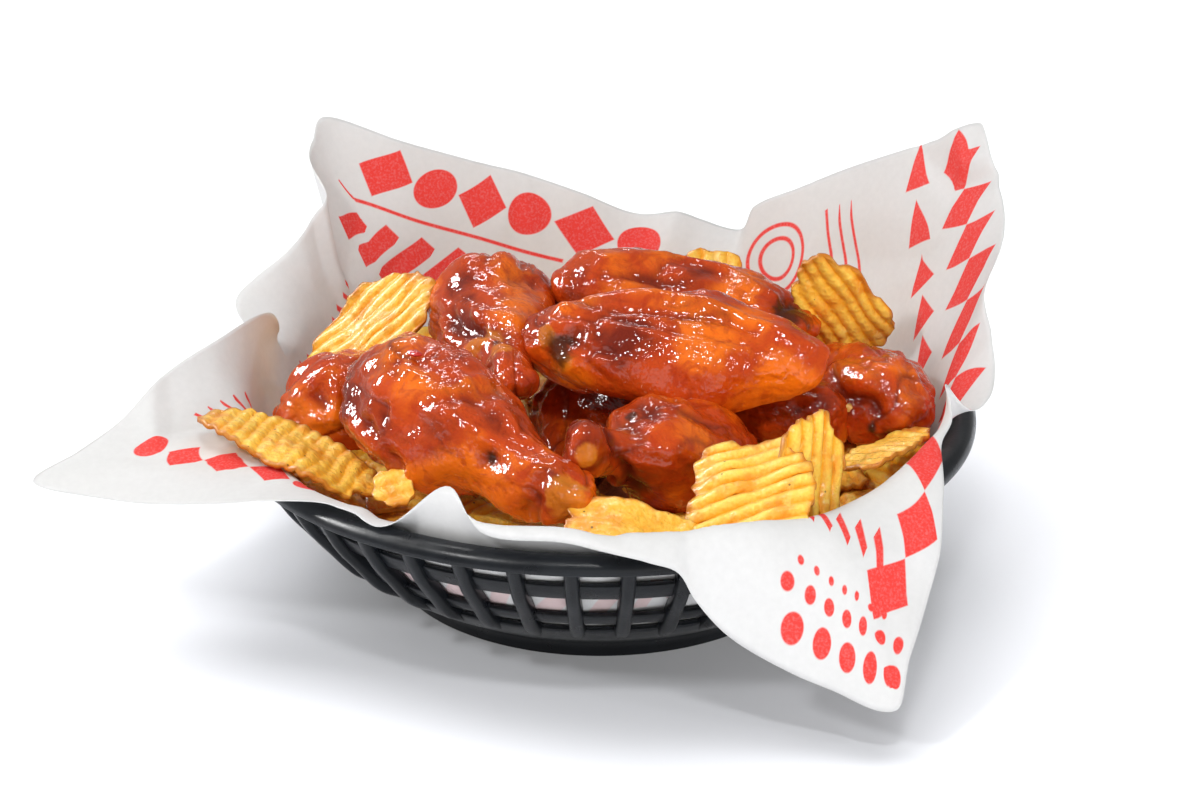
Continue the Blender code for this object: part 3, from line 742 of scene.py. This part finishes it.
# Ridges (height above 0) and grooves (below 0) of single wings, each along one or more
# places: height, radius, places.
STROKES = {
    "wing_front_left": [
        (1.7, 2.6, [(-58, -25, 86), (-61, -38, 88), (-62, -48, 86), (-59, -57, 80)]),
        (-1.9, 1.8, [(-60, -46, 88), (-59, -54, 82), (-62, -58, 75)]),
        (2.6, 5.5, [(-66, -53, 79)]),
        (1.3, 2.2, [(-54, -27, 87), (-56, -41, 89), (-56, -53, 86)]),
        (1.3, 3.0, [(-54, -59, 81), (-43, -60, 84), (-35, -54, 84)]),
        (-1.3, 3.0, [(-52, -62, 79), (-42, -63, 82), (-35, -61, 82)]),
        (1.6, 3.0, [(-59, -59, 77), (-46, -64, 80), (-38, -69, 77), (-26, -75, 71), (-14, -82, 68)]),
        (-2.6, 4.0, [(-32, -76, 70)]),
        (1.4, 2.2, [(-47, -40, 88), (-39, -57, 84), (-28, -65, 78), (-21, -71, 73)]),
        (1.6, 2.6, [(-72, -51, 69), (-67, -56, 66), (-60, -61, 61)]),
        (-1.6, 2.0, [(-68, -55, 71), (-63, -60, 67), (-58, -64, 63)]),
        (2.0, 4.2, [(-13, -85, 63)]),
        (2.2, 4.0, [(-7, -86, 62)]),
        (1.8, 3.5, [(-21, -77, 54)]),
        (-1.8, 2.5, [(-16, -83, 67), (-18, -83, 61), (-20, -81, 58)]),
        (5.5, 11.0, [(-52, -74, 56), (-38, -82, 54), (-22, -86, 54)]),
    ],
    "wing_back_left": [
        (2.2, 3.5, [(-54, 26, 80), (-40, -2, 84), (-27, -9, 85)]),
        (-2.4, 3.0, [(-52, 19, 78), (-40, -6, 82), (-29, -14, 84)]),
        (0.9, 2.0, [(-49, 23, 87), (-31, 0, 88), (-17, 7, 81)]),
        (0.9, 2.0, [(-44, 22, 90), (-28, 10, 88), (-16, 20, 81)]),
        (0.9, 2.0, [(-39, 26, 92), (-25, 22, 89), (-15, 31, 81)]),
        (1.8, 3.0, [(-49, 7, 79)]),
        (2.2, 4.0, [(-36, -13, 81), (-29, -25, 82)]),
        (-2.0, 2.2, [(-38, -9, 82), (-32, -15, 83), (-27, -19, 83)]),
        (1.7, 4.0, [(-40, -12, 76)]),
    ],
    "wing_front_top": [
        (2.0, 4.5, [(-10, -17, 92)]),
        (2.2, 4.0, [(-15, -21, 88)]),
        (-2.8, 3.5, [(-8, -24, 87)]),
        (1.8, 4.0, [(-10, -26, 80)]),
        (1.7, 2.2, [(-4, -12, 93), (19, -11, 95), (31, -15, 94), (45, -20, 90), (63, -25, 83)]),
        (-1.2, 1.3, [(3, -18, 93), (20, -19, 92), (34, -21, 91), (47, -23, 88)]),
        (-1.2, 1.4, [(0, -20, 92), (13, -22, 90), (28, -26, 87), (42, -26, 85)]),
        (1.1, 1.8, [(2, -22, 91), (15, -25, 89), (30, -27, 85), (44, -28, 83)]),
        (-1.0, 3.0, [(-4, -17, 93), (0, -25, 88), (4, -30, 81), (8, -31, 76)]),
        (2.4, 11.0, [(34, -31, 80)]),
        (2.0, 6.0, [(62, -29, 73)]),
        (1.3, 3.0, [(18, -33, 72), (30, -33, 68), (44, -28, 66), (57, -28, 69)]),
    ],
    "wing_back_top": [
        (1.6, 2.2, [(1, 23, 93), (21, 31, 91), (40, 28, 88), (55, 19, 82)]),
        (-1.3, 1.5, [(1, 17, 90), (14, 18, 89), (26, 18, 87)]),
        (2.0, 4.0, [(63, 14, 76)]),
        (1.5, 5.0, [(-12, 20, 86)]),
    ],
    "wing_centre": [
        (2.4, 5.5, [(-1, -73, 74), (0, -70, 60)]),
        (-1.6, 1.4, [(-9, -76, 76), (-4, -80, 68), (0, -78, 60)]),
        (2.2, 5.5, [(4, -45, 68)]),
        (-2.6, 2.5, [(3, -68, 73), (6, -69, 66), (12, -59, 52)]),
        (2.6, 11.0, [(24, -61, 66)]),
        (-1.8, 3.0, [(12, -47, 74), (16, -53, 74)]),
        (2.0, 3.0, [(4, -61, 57)]),
        (1.8, 3.0, [(1, -65, 60)]),
    ],
    "wing_right_back": [
        (1.6, 3.0, [(74, -6, 69), (84, -20, 68), (95, -25, 65)]),
        (-2.0, 2.0, [(72, -7, 68), (75, -17, 63), (83, -22, 65), (88, -26, 56)]),
        (2.2, 8.0, [(79, -20, 53)]),
    ],
    "wing_left": [
        (2.2, 5.0, [(-84, -13, 70)]), (2.2, 4.5, [(-82, -22, 58)]),
        (2.2, 4.5, [(-93, -17, 64)]), (2.0, 4.0, [(-88, -21, 53)]),
        (-2.0, 2.5, [(-87, -18, 65), (-84, -21, 62)]), (-1.8, 2.2, [(-78, -16, 67), (-79, -20, 61)]),
    ],
}


def distance_to_path(places, stops):
    """How far each place is from a line through the stops, or from a single stop."""
    stops = np.array(stops, dtype=float)
    if len(stops) == 1:
        return np.linalg.norm(places - stops[0], axis=1)
    nearest = np.full(len(places), 1e9)
    for start, end in zip(stops, stops[1:]):
        run = end - start
        share = np.clip((places - start) @ run / (run @ run), 0.0, 1.0)
        gap = np.linalg.norm(places - start - share[:, None] * run, axis=1)
        nearest = np.minimum(nearest, gap)
    return nearest


def wing_point(form, unit, seed):
    """Map a point of the unit sphere, its axis along X, onto the wing's form."""
    along = clamp(0.5 + 0.5 * unit.x)
    round_off = (1.0 - abs(unit.x) ** form["blunt"]) ** (1.0 / form["blunt"])
    ring = max(math.hypot(unit.y, unit.z), 1e-9)
    across = unit.y / ring
    upward = unit.z / ring
    place = Vector((
        (along - 0.5) * form["length"],
        curve_at(form["width"], along) * round_off * across,
        curve_at(form["height"], along) * round_off * upward,
    ))
    lump = noise.noise(place / 17.0 + Vector((seed, 0.0, 0.0)))
    outward = Vector((0.3 * unit.x, across, upward)).normalized()
    return place + outward * lump * form["lumps"] * 2.0 * round_off


def axis_matrix(start, end, roll):
    """Frame with X from start to end, rolled about it by an angle in degrees."""
    start, end = Vector(start), Vector(end)
    along = (end - start).normalized()
    side = UP.cross(along).normalized()
    normal = along.cross(side)
    axes = Matrix((along, side, normal)).transposed().to_4x4()
    turn = Matrix.Rotation(math.radians(roll), 4, "X")
    return Matrix.Translation((start + end) * 0.5) @ axes @ turn


def skin_relief(spot, along, folds, lumps, seed):
    """Height of the skin over the plain form, and how far into a crease the place is: the share of
    painted shade there.
    """
    away = Vector((seed, 3.1 * seed, 1.7 * seed))
    stretched = Vector((spot.x / 3.0, spot.y, spot.z))
    warp = noise.noise_vector(spot / 24.0 + away) * 4.0
    patch = smoothstep(-0.15, 0.25, noise.noise(spot / 26.0 - away))
    fold = noise.noise((stretched + warp) / 13.0 + away)
    crease = math.exp(-(fold / 0.05) ** 2) * patch
    small = noise.noise((stretched + warp) / 5.5 - away)
    wrinkle = math.exp(-(small / 0.08) ** 2) * (1.0 - patch) * patch * 4.0
    nearest = noise.voronoi((stretched * 1.4 + warp * 1.5) / 23.0 + away)[0]
    lobe = smoothstep(0.0, 0.26, nearest[1] - nearest[0])
    knobs = noise.noise(spot / 9.0 + away)
    pebbles = noise.noise(spot / 4.6 - away)
    grit = noise.noise(spot / 2.2 + away)
    ends = hill(along, 1.0, 0.12) + hill(along, 0.0, 0.10)
    height = abs(fold) * folds * 1.8 - crease * folds * 0.6 - wrinkle * folds * 0.3
    height += (knobs + abs(knobs)) * lumps * (0.7 + 1.3 * ends)
    height += abs(pebbles) * (0.3 + 0.8 * patch) + grit * 0.12 * patch
    height += (lobe - 0.7) * (0.35 + 0.75 * lumps * patch)
    return height, clamp(0.6 * crease + 0.4 * wrinkle + 0.4 * (1.0 - lobe) * patch)


def marked(places, kind):
    """0 to 1: how near each place is to a mark of one kind."""
    hills = [np.exp(-(distance_to_path(places, [centre]) / radius) ** 2)
             for mark, centre, radius in MARKS if mark == kind]
    return np.max(hills, axis=0)


def build_wing(row, seed, looks):
    name, form_name, start, end, roll, girth, folds, lumps, orange = row
    form = FORMS[form_name]
    stretch = (Vector(end) - Vector(start)).length / form["length"]
    axes = axis_matrix(start, end, roll)
    turned = axes.to_3x3()
    places, smooth_places, outwards, crease_shade, orange_and_highlight = [], [], [], [], []
    for j in range(WING_RINGS + 1):
        polar = math.pi * (j + 0.02) / (WING_RINGS + 0.04)
        for i in range(WING_SIDES):
            turn = 2.0 * math.pi * i / WING_SIDES
            unit = Vector((-math.cos(polar), math.sin(polar) * math.cos(turn),
                           math.sin(polar) * math.sin(turn)))
            spot = wing_point(form, unit, seed * 7.3)
            spot = Vector((spot.x * stretch, spot.y * girth, spot.z * girth))
            along = 0.5 + 0.5 * unit.x
            height, crease = skin_relief(spot, along, folds, lumps, seed * 5.7)
            outward = Vector((0.5 * unit.x, unit.y, unit.z)).normalized()
            place = axes @ (spot + outward * (height - 0.7))
            places.append(place)
            smooth_places.append(axes @ (spot + outward * 0.5))
            outwards.append(turned @ outward)
            crease_shade.append(crease)
            orange_and_highlight.append(orange + 1.0 * noise.noise(place / 17.0 + Vector((seed, 0.0, 4.0))))
    places, outwards = np.array(places), np.array(outwards)
    sleek = marked(places, "sleek")
    places += (np.array(smooth_places) - places) * 0.5 * sleek[:, None]
    carved = np.zeros(len(places))
    for height, radius, stops in STROKES.get(name, []):
        carved += height * np.exp(-(distance_to_path(places, stops) / radius) ** 2)
    # Creases, wrinkles and carved grooves are painted darker: painted shade, partly also the glaze
    # pooling in them.
    crease_shade = np.clip(np.array(crease_shade) + np.clip(-0.45 * carved, 0.0, 0.8), 0.0, 1.0)
    # The skin's own orange share and random tone, plus a painted highlight on carved ridges, painted
    # shade in carved grooves and a painted highlight at the gold places.
    orange_and_highlight = np.array(orange_and_highlight) + np.clip(0.16 * carved, -0.2, 0.4) + 0.36 * marked(places, "lit_gold")
    faces = grid_faces(WING_SIDES, WING_RINGS, round_columns=True)
    faces.append(tuple(reversed(range(WING_SIDES))))
    faces.append(tuple(WING_RINGS * WING_SIDES + i for i in range(WING_SIDES)))
    wing = new_piece(name + "_skin", places + outwards * carved[:, None], faces, looks)
    for layer, values in (("crease_shade", crease_shade), ("orange_and_highlight", orange_and_highlight), ("char", marked(places, "char")),
                          ("bone", marked(places, "bone")), ("sleek", sleek)):
        paint(wing, layer, values)
    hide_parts(name)
    return wing


# Bits of garlic and chili caught in the glaze: place and half size.
GARLIC = [((75.6, -19, 60.8), 2.6), ((-12, -86.5, 65), 1.3)]
CHILI = [((-54.6, -44.3, 89.3), 2.2), ((17.9, 32.7, 92), 1.6), ((40, -30, 80), 1.0),
         ((-44, -66, 80.5), 1.0), ((88, -22, 66), 0.9)]


def build_bits(name, rows, colour):
    """Small uneven lumps, as one piece."""
    looks = Looks(name)
    looks.set(Base_Color=colour, Roughness=0.3, Coat_Weight=1.0, Coat_Roughness=0.05,
              Normal=looks.bump(looks.noise(0.8), 0.2))
    points, faces = [], []
    for (x, y, z), half in rows:
        ball = bmesh.new()
        bmesh.ops.create_icosphere(ball, subdivisions=3, radius=1.0)
        start = len(points)
        for vert in ball.verts:
            swell = 1.0 + 0.5 * noise.noise(vert.co * 1.3 + Vector((x, y, z)))
            points.append(Vector((x, y, z)) + Vector((vert.co.x, 0.7 * vert.co.y, 0.6 * vert.co.z))
                          * half * swell)
        faces += [tuple(start + vert.index for vert in face.verts) for face in ball.faces]
        ball.free()
    new_piece(name, points, faces, looks.material)


def wing_looks():
    looks = Looks("glazed_skin")
    crease_shade, orange_and_highlight = looks.painted("crease_shade"), looks.painted("orange_and_highlight")
    char, bone = looks.painted("char"), looks.painted("bone")
    mottle = looks.noise(6.0, 4.0, distortion=0.6)
    # Orange share and tone of the skin, with the painted highlights and shade carried in the same
    # attribute.
    uneven = looks.math("ADD", orange_and_highlight, looks.math("MULTIPLY", mottle, 0.9))
    colour = looks.blend(looks.range(uneven, 0.15, 0.80), (0.17, 0.013, 0.002), (0.52, 0.055, 0.004))
    colour = looks.blend(looks.range(uneven, 0.90, 1.55), colour, (0.82, 0.155, 0.005))
    streaks = looks.range(looks.noise(7.0, 3.0, distortion=1.5), 0.50, 0.68, 0.0, 0.5)
    colour = looks.blend(streaks, colour, (0.38, 0.026, 0.003))
    # Darker in the creases: painted shade, partly also the glaze pooled there.
    colour = looks.blend(looks.math("MULTIPLY", crease_shade, 0.8), colour, (0.12, 0.009, 0.002))
    bony = looks.range(looks.math("ADD", bone, looks.math("MULTIPLY", mottle, 0.8)), 0.75, 1.05)
    colour = looks.blend(looks.math("MULTIPLY", bony, 0.60), colour, (0.66, 0.22, 0.014))
    burnt = looks.range(looks.math("ADD", char, looks.math("MULTIPLY", mottle, 1.5)), 1.05, 1.60)
    colour = looks.blend(looks.math("MULTIPLY", burnt, 0.88), colour, (0.030, 0.010, 0.004))
    rough = looks.bump(looks.noise(1.0, 3.0), 0.20)
    rough = looks.bump(looks.range(looks.cells(2.2), 0.05, 0.5), 0.16, rough)
    patchy = looks.range(looks.noise(16.0, 1.0), 0.40, 0.62)
    uneven_share = looks.range(looks.painted("sleek"), 0.1, 0.8, 1.0, 0.15)
    dimples = looks.math("MULTIPLY", looks.noise(3.4, 1.0, distortion=1.2), uneven_share)
    glaze = looks.bump(looks.noise(6.0, 0.0, distortion=0.5), 0.45)
    glaze = looks.bump(dimples, 0.30, glaze)
    glaze = looks.bump(looks.math("MULTIPLY", looks.noise(2.0, 1.0), patchy), 0.40, glaze)
    glaze = looks.bump(looks.range(looks.cells(2.2), 0.05, 0.5), 0.05, glaze)
    looks.set(
        Base_Color=colour,
        Roughness=0.5,
        Specular_IOR_Level=0.02,
        Subsurface_Weight=0.05,
        Subsurface_Radius=(0.9, 0.22, 0.06),
        Subsurface_Scale=0.003,
        Coat_Weight=1.0,
        Coat_Roughness=0.03,
        Coat_IOR=1.42,
        Normal=rough,
        Coat_Normal=glaze,
    )
    return looks.material


# ---------------------------------------------------------------- chips

RIDGE_PITCH = 4.2
CHIP_THICKNESS = 1.5

# Each chip: name, centre, the way its ridges run, the way it faces, half size across and
# along the ridges, how much it bends across and along them (per millimetre), and the
# depth of its ridges.
CHIPS = [
    ("chip_left_back", (-74, 22, 69), (0.74, 0.1, 0.66), (-0.5, -0.65, 0.6), 15, 23, 0.006, 0.003,
     0.7),
    ("chip_left_front", (-90, -49, 61.2), (0.25, 0.95, -0.05), (0.3, -0.15, 0.9), 27, 13.5, 0.005, 0.0,
     0.4),
    ("chip_left_bit", (-60, -69, 57.5), (0.8, 0.2, 0.2), (0.0, -0.6, 0.8), 6, 6, 0.0, 0.0, 0.5),
    ("chip_front", (11, -95.5, 56.8), (0.97, -0.05, -0.2), (0.0, -0.5, 0.85), 9.5, 20.5, 0.014,
     0.008, 0.15),
    ("chip_front_right", (43, -86, 63.5), (0.93, 0.05, 0.32), (-0.2, -0.5, 0.83), 20.5, 18.5, 0.006,
     0.004, 0.95),
    ("chip_right_fold", (61.5, -75, 63.5), (0.05, 0.5, 0.86), (0.5, -0.65, 0.5), 11, 18, 0.012, 0.0,
     0.75),
    ("chip_right", (85, -46.5, 59.5), (-0.7, 0.55, -0.3), (0.15, -0.1, 0.9), 17.5, 11, 0.004, 0.0, 0.4),
    ("chip_right_back", (77, 22, 77), (0.50, 0.3, -0.78), (-0.42, -0.7, 0.55), 12.5, 22, 0.006,
     0.003, 0.6),
    ("chip_back", (34, 47, 77), (0.0, 0.4, 0.9), (0.0, -0.9, 0.4), 15, 10, 0.004, 0.0, 0.8),
]


def facing_matrix(centre, ridges, facing):
    """Frame with Y along the ridges and Z as near as can be to the facing direction."""
    along = Vector(ridges).normalized()
    across = along.cross(Vector(facing)).normalized()
    normal = across.cross(along)
    axes = Matrix((across, along, normal)).transposed().to_4x4()
    return Matrix.Translation(centre) @ axes


def chip_mesh(centre, ridges, facing, across, along, bend_x, bend_y, depth, seed, cell):
    """Points, faces and paint of one ridged chip's middle surface."""
    axes = facing_matrix(centre, ridges, facing)
    columns = max(8, round(2.0 * across / cell))
    rows = max(6, round(2.0 * along / cell))
    away = Vector((seed, 2.3 * seed, 0.0))
    points, crest_highlight, rim = [], [], []
    for j in range(rows + 1):
        t = 2.0 * j / rows - 1.0
        for i in range(columns + 1):
            s = 2.0 * i / columns - 1.0
            round_s = s * math.sqrt(1.0 - 0.42 * t * t)
            round_t = t * math.sqrt(1.0 - 0.42 * s * s)
            towards = Vector((round_s, round_t, 0.0)).normalized()
            ragged = 1.0 + 0.26 * noise.noise(towards * 1.5 + away)
            ragged += 0.09 * noise.noise(towards * 5.0 - away)
            x, y = round_s * across * ragged, round_t * along * ragged
            flat = Vector((x, y, 0.0))
            sway = 1.5 * noise.noise(flat / 14.0 - away)
            wave = math.sin(2.0 * math.pi * (x + sway) / RIDGE_PITCH)
            strength = 0.75 + 0.75 * noise.noise(flat / 11.0 + away)
            z = depth * wave * clamp(strength, 0.25, 1.2)
            z += 3.0 * noise.noise(flat / 17.0 + away) + 0.35 * noise.noise(flat / 3.0 + away)
            z -= bend_x * x * x + bend_y * y * y
            points.append(axes @ Vector((x, y, z)))
            # Lighter along the ridge crests: a painted highlight.
            crest_highlight.append(0.5 + 0.5 * wave * min(depth, 1.0) * clamp(strength, 0.3, 1.0))
            rim.append(max(abs(s), abs(t)) ** 6)
    return points, grid_faces(columns, rows), crest_highlight, rim


def finish_chips(piece, crest_highlight, rim):
    paint(piece, "crest_highlight", crest_highlight)
    paint(piece, "rim", rim)
    skin = piece.modifiers.new("thickness", "SOLIDIFY")
    skin.thickness = CHIP_THICKNESS * MM
    skin.offset = 0.0
    apply_modifiers(piece)


def build_chip(row, seed, looks):
    name = row[0]
    points, faces, crest_highlight, rim = chip_mesh(*row[1:], seed * 3.9, 0.55)
    points = [inside_wall(point) for point in points]
    chip = new_piece(name + "_crisp", points, faces, looks)
    finish_chips(chip, crest_highlight, rim)
    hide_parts(name)


def chip_looks():
    looks = Looks("fried_potato")
    crest_highlight, rim = looks.painted("crest_highlight"), looks.painted("rim")
    blotch = looks.noise(8.0, 4.0)
    grain = looks.noise(0.9, 4.0)
    # Ridge crests painted lighter, mixed with the grain: a painted highlight.
    light = looks.range(looks.math("ADD", crest_highlight, looks.math("MULTIPLY", grain, 0.7)), 0.45, 1.45)
    colour = looks.blend(light, (0.93, 0.40, 0.013), (1.0, 0.70, 0.12))
    colour = looks.blend(looks.range(blotch, 0.48, 0.70, 0.0, 0.7), colour, (0.82, 0.26, 0.008))
    pale = looks.range(looks.noise(6.0, 3.0, distortion=0.8), 0.56, 0.70, 0.0, 0.55)
    colour = looks.blend(pale, colour, (0.96, 0.72, 0.20))
    brown = looks.range(looks.math("ADD", rim, looks.math("MULTIPLY", blotch, 0.9)), 0.85, 1.5)
    colour = looks.blend(looks.math("MULTIPLY", brown, 0.8), colour, (0.52, 0.14, 0.008))
    specks = looks.range(looks.cells(5.5), 0.085, 0.05)
    colour = looks.blend(looks.math("MULTIPLY", specks, 0.75), colour, (0.09, 0.025, 0.006))
    relief = looks.bump(grain, 0.35)
    looks.set(
        Base_Color=colour,
        Roughness=0.42,
        Specular_IOR_Level=0.2,
        Subsurface_Weight=0.12,
        Subsurface_Radius=(0.9, 0.5, 0.12),
        Subsurface_Scale=0.002,
        Coat_Weight=0.25,
        Coat_Roughness=0.2,
        Normal=looks.bump(looks.range(looks.cells(2.2), 0.1, 0.7), 0.22, relief),
    )
    return looks.material


# ---------------------------------------------------------------- bed of chips

CORE_DROP = 9.0
BED_TOP = [(0.0, 45.0), (40.0, 44.0), (75.0, 46.0), (105.0, 46.0)]
FRONT_GAP = (206.0, 334.0)     # directions where the bed's chips lie lower
FRONT_DROP = 5.0
WALL_AT_HEIGHT = [(height, radius) for walked, radius, height in LINER_WALL if radius > 70.0]
# Rings of the bed: radius, count, lean towards the middle, height over the core.
BED_RINGS = [(88.0, 24, 0.42, 2.0), (70.0, 20, 0.25, 4.5), (50.0, 13, 0.1, 3.0), (28.0, 7, 0.0, 2.0)]


def build_core():
    """The heap's hidden middle, lower than the chips that lie on it."""
    sides, rings = 72, 30
    profile = []
    for reach in np.linspace(0.0, WALL_END - 12.0, 14):
        profile.append((curve_at(WALL_RADII, reach), curve_at(WALL_HEIGHTS, reach)))
    profile = offset_profile(profile, 1.6)
    profile[0] = (0.0, FLOOR_HEIGHT + 1.6)
    outer = profile[-1][0]
    for k in range(1, rings):
        radius = outer * (1.0 - k / rings)
        height = curve_at(BED_TOP, radius) - CORE_DROP * (1.0 - 0.3 * smoothstep(0.0, 60.0, radius))
        profile.append((radius, height))
    profile.append((0.0, BED_TOP[0][1] - CORE_DROP))
    points = []
    for row, (radius, height) in enumerate(profile):
        for i in range(sides):
            turn = 2.0 * math.pi * i / sides
            spot = Vector((radius * math.cos(turn), radius * math.sin(turn), height))
            if row > 13:
                spot.z += 2.5 * noise.noise(spot / 14.0)
            points.append(spot)
    core = new_piece("heap_core", points, grid_faces(sides, len(profile) - 1, True), core_looks())
    paint(core, "dry", [smoothstep(50.0, 75.0, math.hypot(spot.x, spot.y)) for spot in points])
    tidy = bmesh.new()
    tidy.from_mesh(core.data)
    bmesh.ops.remove_doubles(tidy, verts=tidy.verts, dist=0.01 * MM)
    bmesh.ops.recalc_face_normals(tidy, faces=tidy.faces)
    tidy.to_mesh(core.data)
    tidy.free()
    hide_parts("chip_bed")


def core_looks():
    looks = Looks("sauced_crumbs")
    grain = looks.noise(3.0, 4.0)
    sauced = looks.blend(grain, (0.11, 0.014, 0.003), (0.34, 0.075, 0.010))
    crumbs = looks.blend(looks.range(grain, 0.35, 0.65), (0.46, 0.15, 0.010), (0.85, 0.42, 0.04))
    looks.set(
        Base_Color=looks.blend(looks.painted("dry"), sauced, crumbs),
        Roughness=0.5,
        Normal=looks.bump(grain, 1.4),
    )
    return looks.material


def inside_wall(point):
    """The point itself, or pulled in to lie just inside the paper's wall."""
    limit = curve_at(WALL_AT_HEIGHT, point.z) - 2.6 + 6.0 * max(0.0, point.z - RIM_Z)
    reach = math.hypot(point.x, point.y)
    pull = min(1.0, limit / max(reach, 0.001))
    return Vector((point.x * pull, point.y * pull, point.z))


def build_bed(looks):
    """Loose chips round the heap, in rings that lean against the paper."""
    pick = random.Random(7)
    points, faces, crest_highlight, rim = [], [], [], []
    for radius, count, lean, lift in BED_RINGS:
        for k in range(count):
            turn = 2.0 * math.pi * (k + 0.35 * pick.uniform(-1.0, 1.0)) / count
            out = Vector((math.cos(turn), math.sin(turn), 0.0))
            distance = radius + pick.uniform(-3.0, 3.0)
            height = curve_at(BED_TOP, distance) - 4.0 + lift + pick.uniform(-1.5, 1.5)
            if FRONT_GAP[0] < math.degrees(turn) % 360.0 < FRONT_GAP[1]:
                height -= FRONT_DROP
            facing = UP - out * (lean + pick.uniform(-0.15, 0.15))
            facing += out.cross(UP) * pick.uniform(-0.25, 0.25)
            spin = pick.uniform(0.0, math.pi)
            ridges = out * math.cos(spin) + out.cross(UP) * math.sin(spin)
            centre = out * distance + UP * height
            made = chip_mesh(centre, ridges, facing, pick.uniform(13.0, 16.5),
                             pick.uniform(13.5, 17.5), pick.uniform(0.002, 0.008),
                             pick.uniform(0.0, 0.005), 0.8, 40.0 + 3.3 * k + radius, 1.25)
            start = len(points)
            points += [inside_wall(point) for point in made[0]]
            faces += [tuple(start + corner for corner in face) for face in made[1]]
            crest_highlight += made[2]
            rim += made[3]
    bed = new_piece("bed_chips", points, faces, looks)
    finish_chips(bed, crest_highlight, rim)
    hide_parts("chip_bed")


# ---------------------------------------------------------------- stage

CAMERA_TARGET = Vector((0.0, 0.0, 0.05515))
CAMERA_DISTANCE = 0.9
CAMERA_RISE = math.radians(23.58)


def area_light(name, place, aim, size_x, size_y, power, lights_up=True, mirrored=True):
    """An area lamp that lights rough surfaces, shows in glossy ones, or does both."""
    data = bpy.data.lights.new(name, "AREA")
    data.shape = "RECTANGLE"
    data.size = size_x
    data.size_y = size_y
    data.energy = power
    lamp = bpy.data.objects.new(name, data)
    lamp.location = place
    lamp.rotation_euler = (Vector(aim) - Vector(place)).to_track_quat("-Z", "Y").to_euler()
    lamp.visible_diffuse = lights_up
    lamp.visible_glossy = mirrored
    bpy.context.scene.collection.objects.link(lamp)
    return lamp


def build_stage():
    scene = bpy.context.scene
    scene.view_settings.view_transform = "Standard"
    bpy.ops.mesh.primitive_plane_add(size=8.0)
    floor = bpy.context.object
    floor.name = "floor"
    pale = Looks("pale_floor")
    pale.set(Base_Color=(0.60, 0.61, 0.64), Roughness=0.9, Specular_IOR_Level=0.1,
             Emission_Color=(1.0, 1.0, 1.0), Emission_Strength=0.13)
    floor.data.materials.append(pale.material)

    world = bpy.data.worlds.new("studio")
    world.use_nodes = True
    world.node_tree.nodes["Background"].inputs["Color"].default_value = (1.0, 1.0, 1.0, 1.0)
    world.node_tree.nodes["Background"].inputs["Strength"].default_value = 0.32
    scene.world = world
    aim = (0.0, 0.0, 0.06)
    area_light("back_strip", (-0.15, 0.85, 0.62), aim, 0.32, 0.025, 1.0)
    area_light("left_key", (-0.62, 0.12, 0.72), aim, 0.40, 0.40, 2.6, mirrored=False)
    area_light("left_glare", (-0.66, 0.16, 0.60), aim, 0.19, 0.34, 13.0, lights_up=False)
    area_light("side_glare", (-0.85, -0.04, 0.46), aim, 0.14, 0.26, 11.0, lights_up=False)
    area_light("right_fill", (0.98, -0.60, 0.32), aim, 0.60, 0.60, 3.4, mirrored=False)
    area_light("top_glare", (-0.10, 0.30, 0.95), aim, 0.45, 0.05, 3.4, lights_up=False)
    area_light("left_front_spot", (-0.50, -0.55, 0.72), aim, 0.10, 0.10, 3.0)
    area_light("front_spot", (0.02, -0.60, 0.85), aim, 0.14, 0.06, 2.4)
    area_light("right_front_spot", (0.55, -0.55, 0.66), aim, 0.06, 0.06, 0.6)
    area_light("front_fill", (0.15, -1.05, 0.25), aim, 0.90, 0.35, 1.4)

    # The floor has a light of its own from above, so it is white with a soft shadow.
    floor_light = area_light("floor_light", (-0.10, 0.26, 1.40), aim, 1.40, 1.40, 29.0, mirrored=False)
    floor_only = bpy.data.collections.new("floor_only")
    floor_only.objects.link(floor)
    floor_light.light_linking.receiver_collection = floor_only

    data = bpy.data.cameras.new("camera")
    data.lens = 85.92
    data.sensor_width = 36.0
    camera = bpy.data.objects.new("camera", data)
    back = Vector((0.0, -math.cos(CAMERA_RISE), math.sin(CAMERA_RISE)))
    camera.location = CAMERA_TARGET + back * CAMERA_DISTANCE
    camera.rotation_euler = (0.5 * math.pi - CAMERA_RISE, 0.0, 0.0)
    scene.collection.objects.link(camera)
    scene.camera = camera


build_stage()
build_basket()
build_paper()
SKIN = wing_looks()
for number, wing_row in enumerate(WINGS):
    build_wing(wing_row, number, SKIN)
build_bits("garlic_bits", GARLIC, (0.75, 0.42, 0.10))
build_bits("chili_flecks", CHILI, (0.55, 0.012, 0.006))
CRISP = chip_looks()
for number, chip_row in enumerate(CHIPS):
    build_chip(chip_row, number, CRISP)
build_core()
build_bed(CRISP)
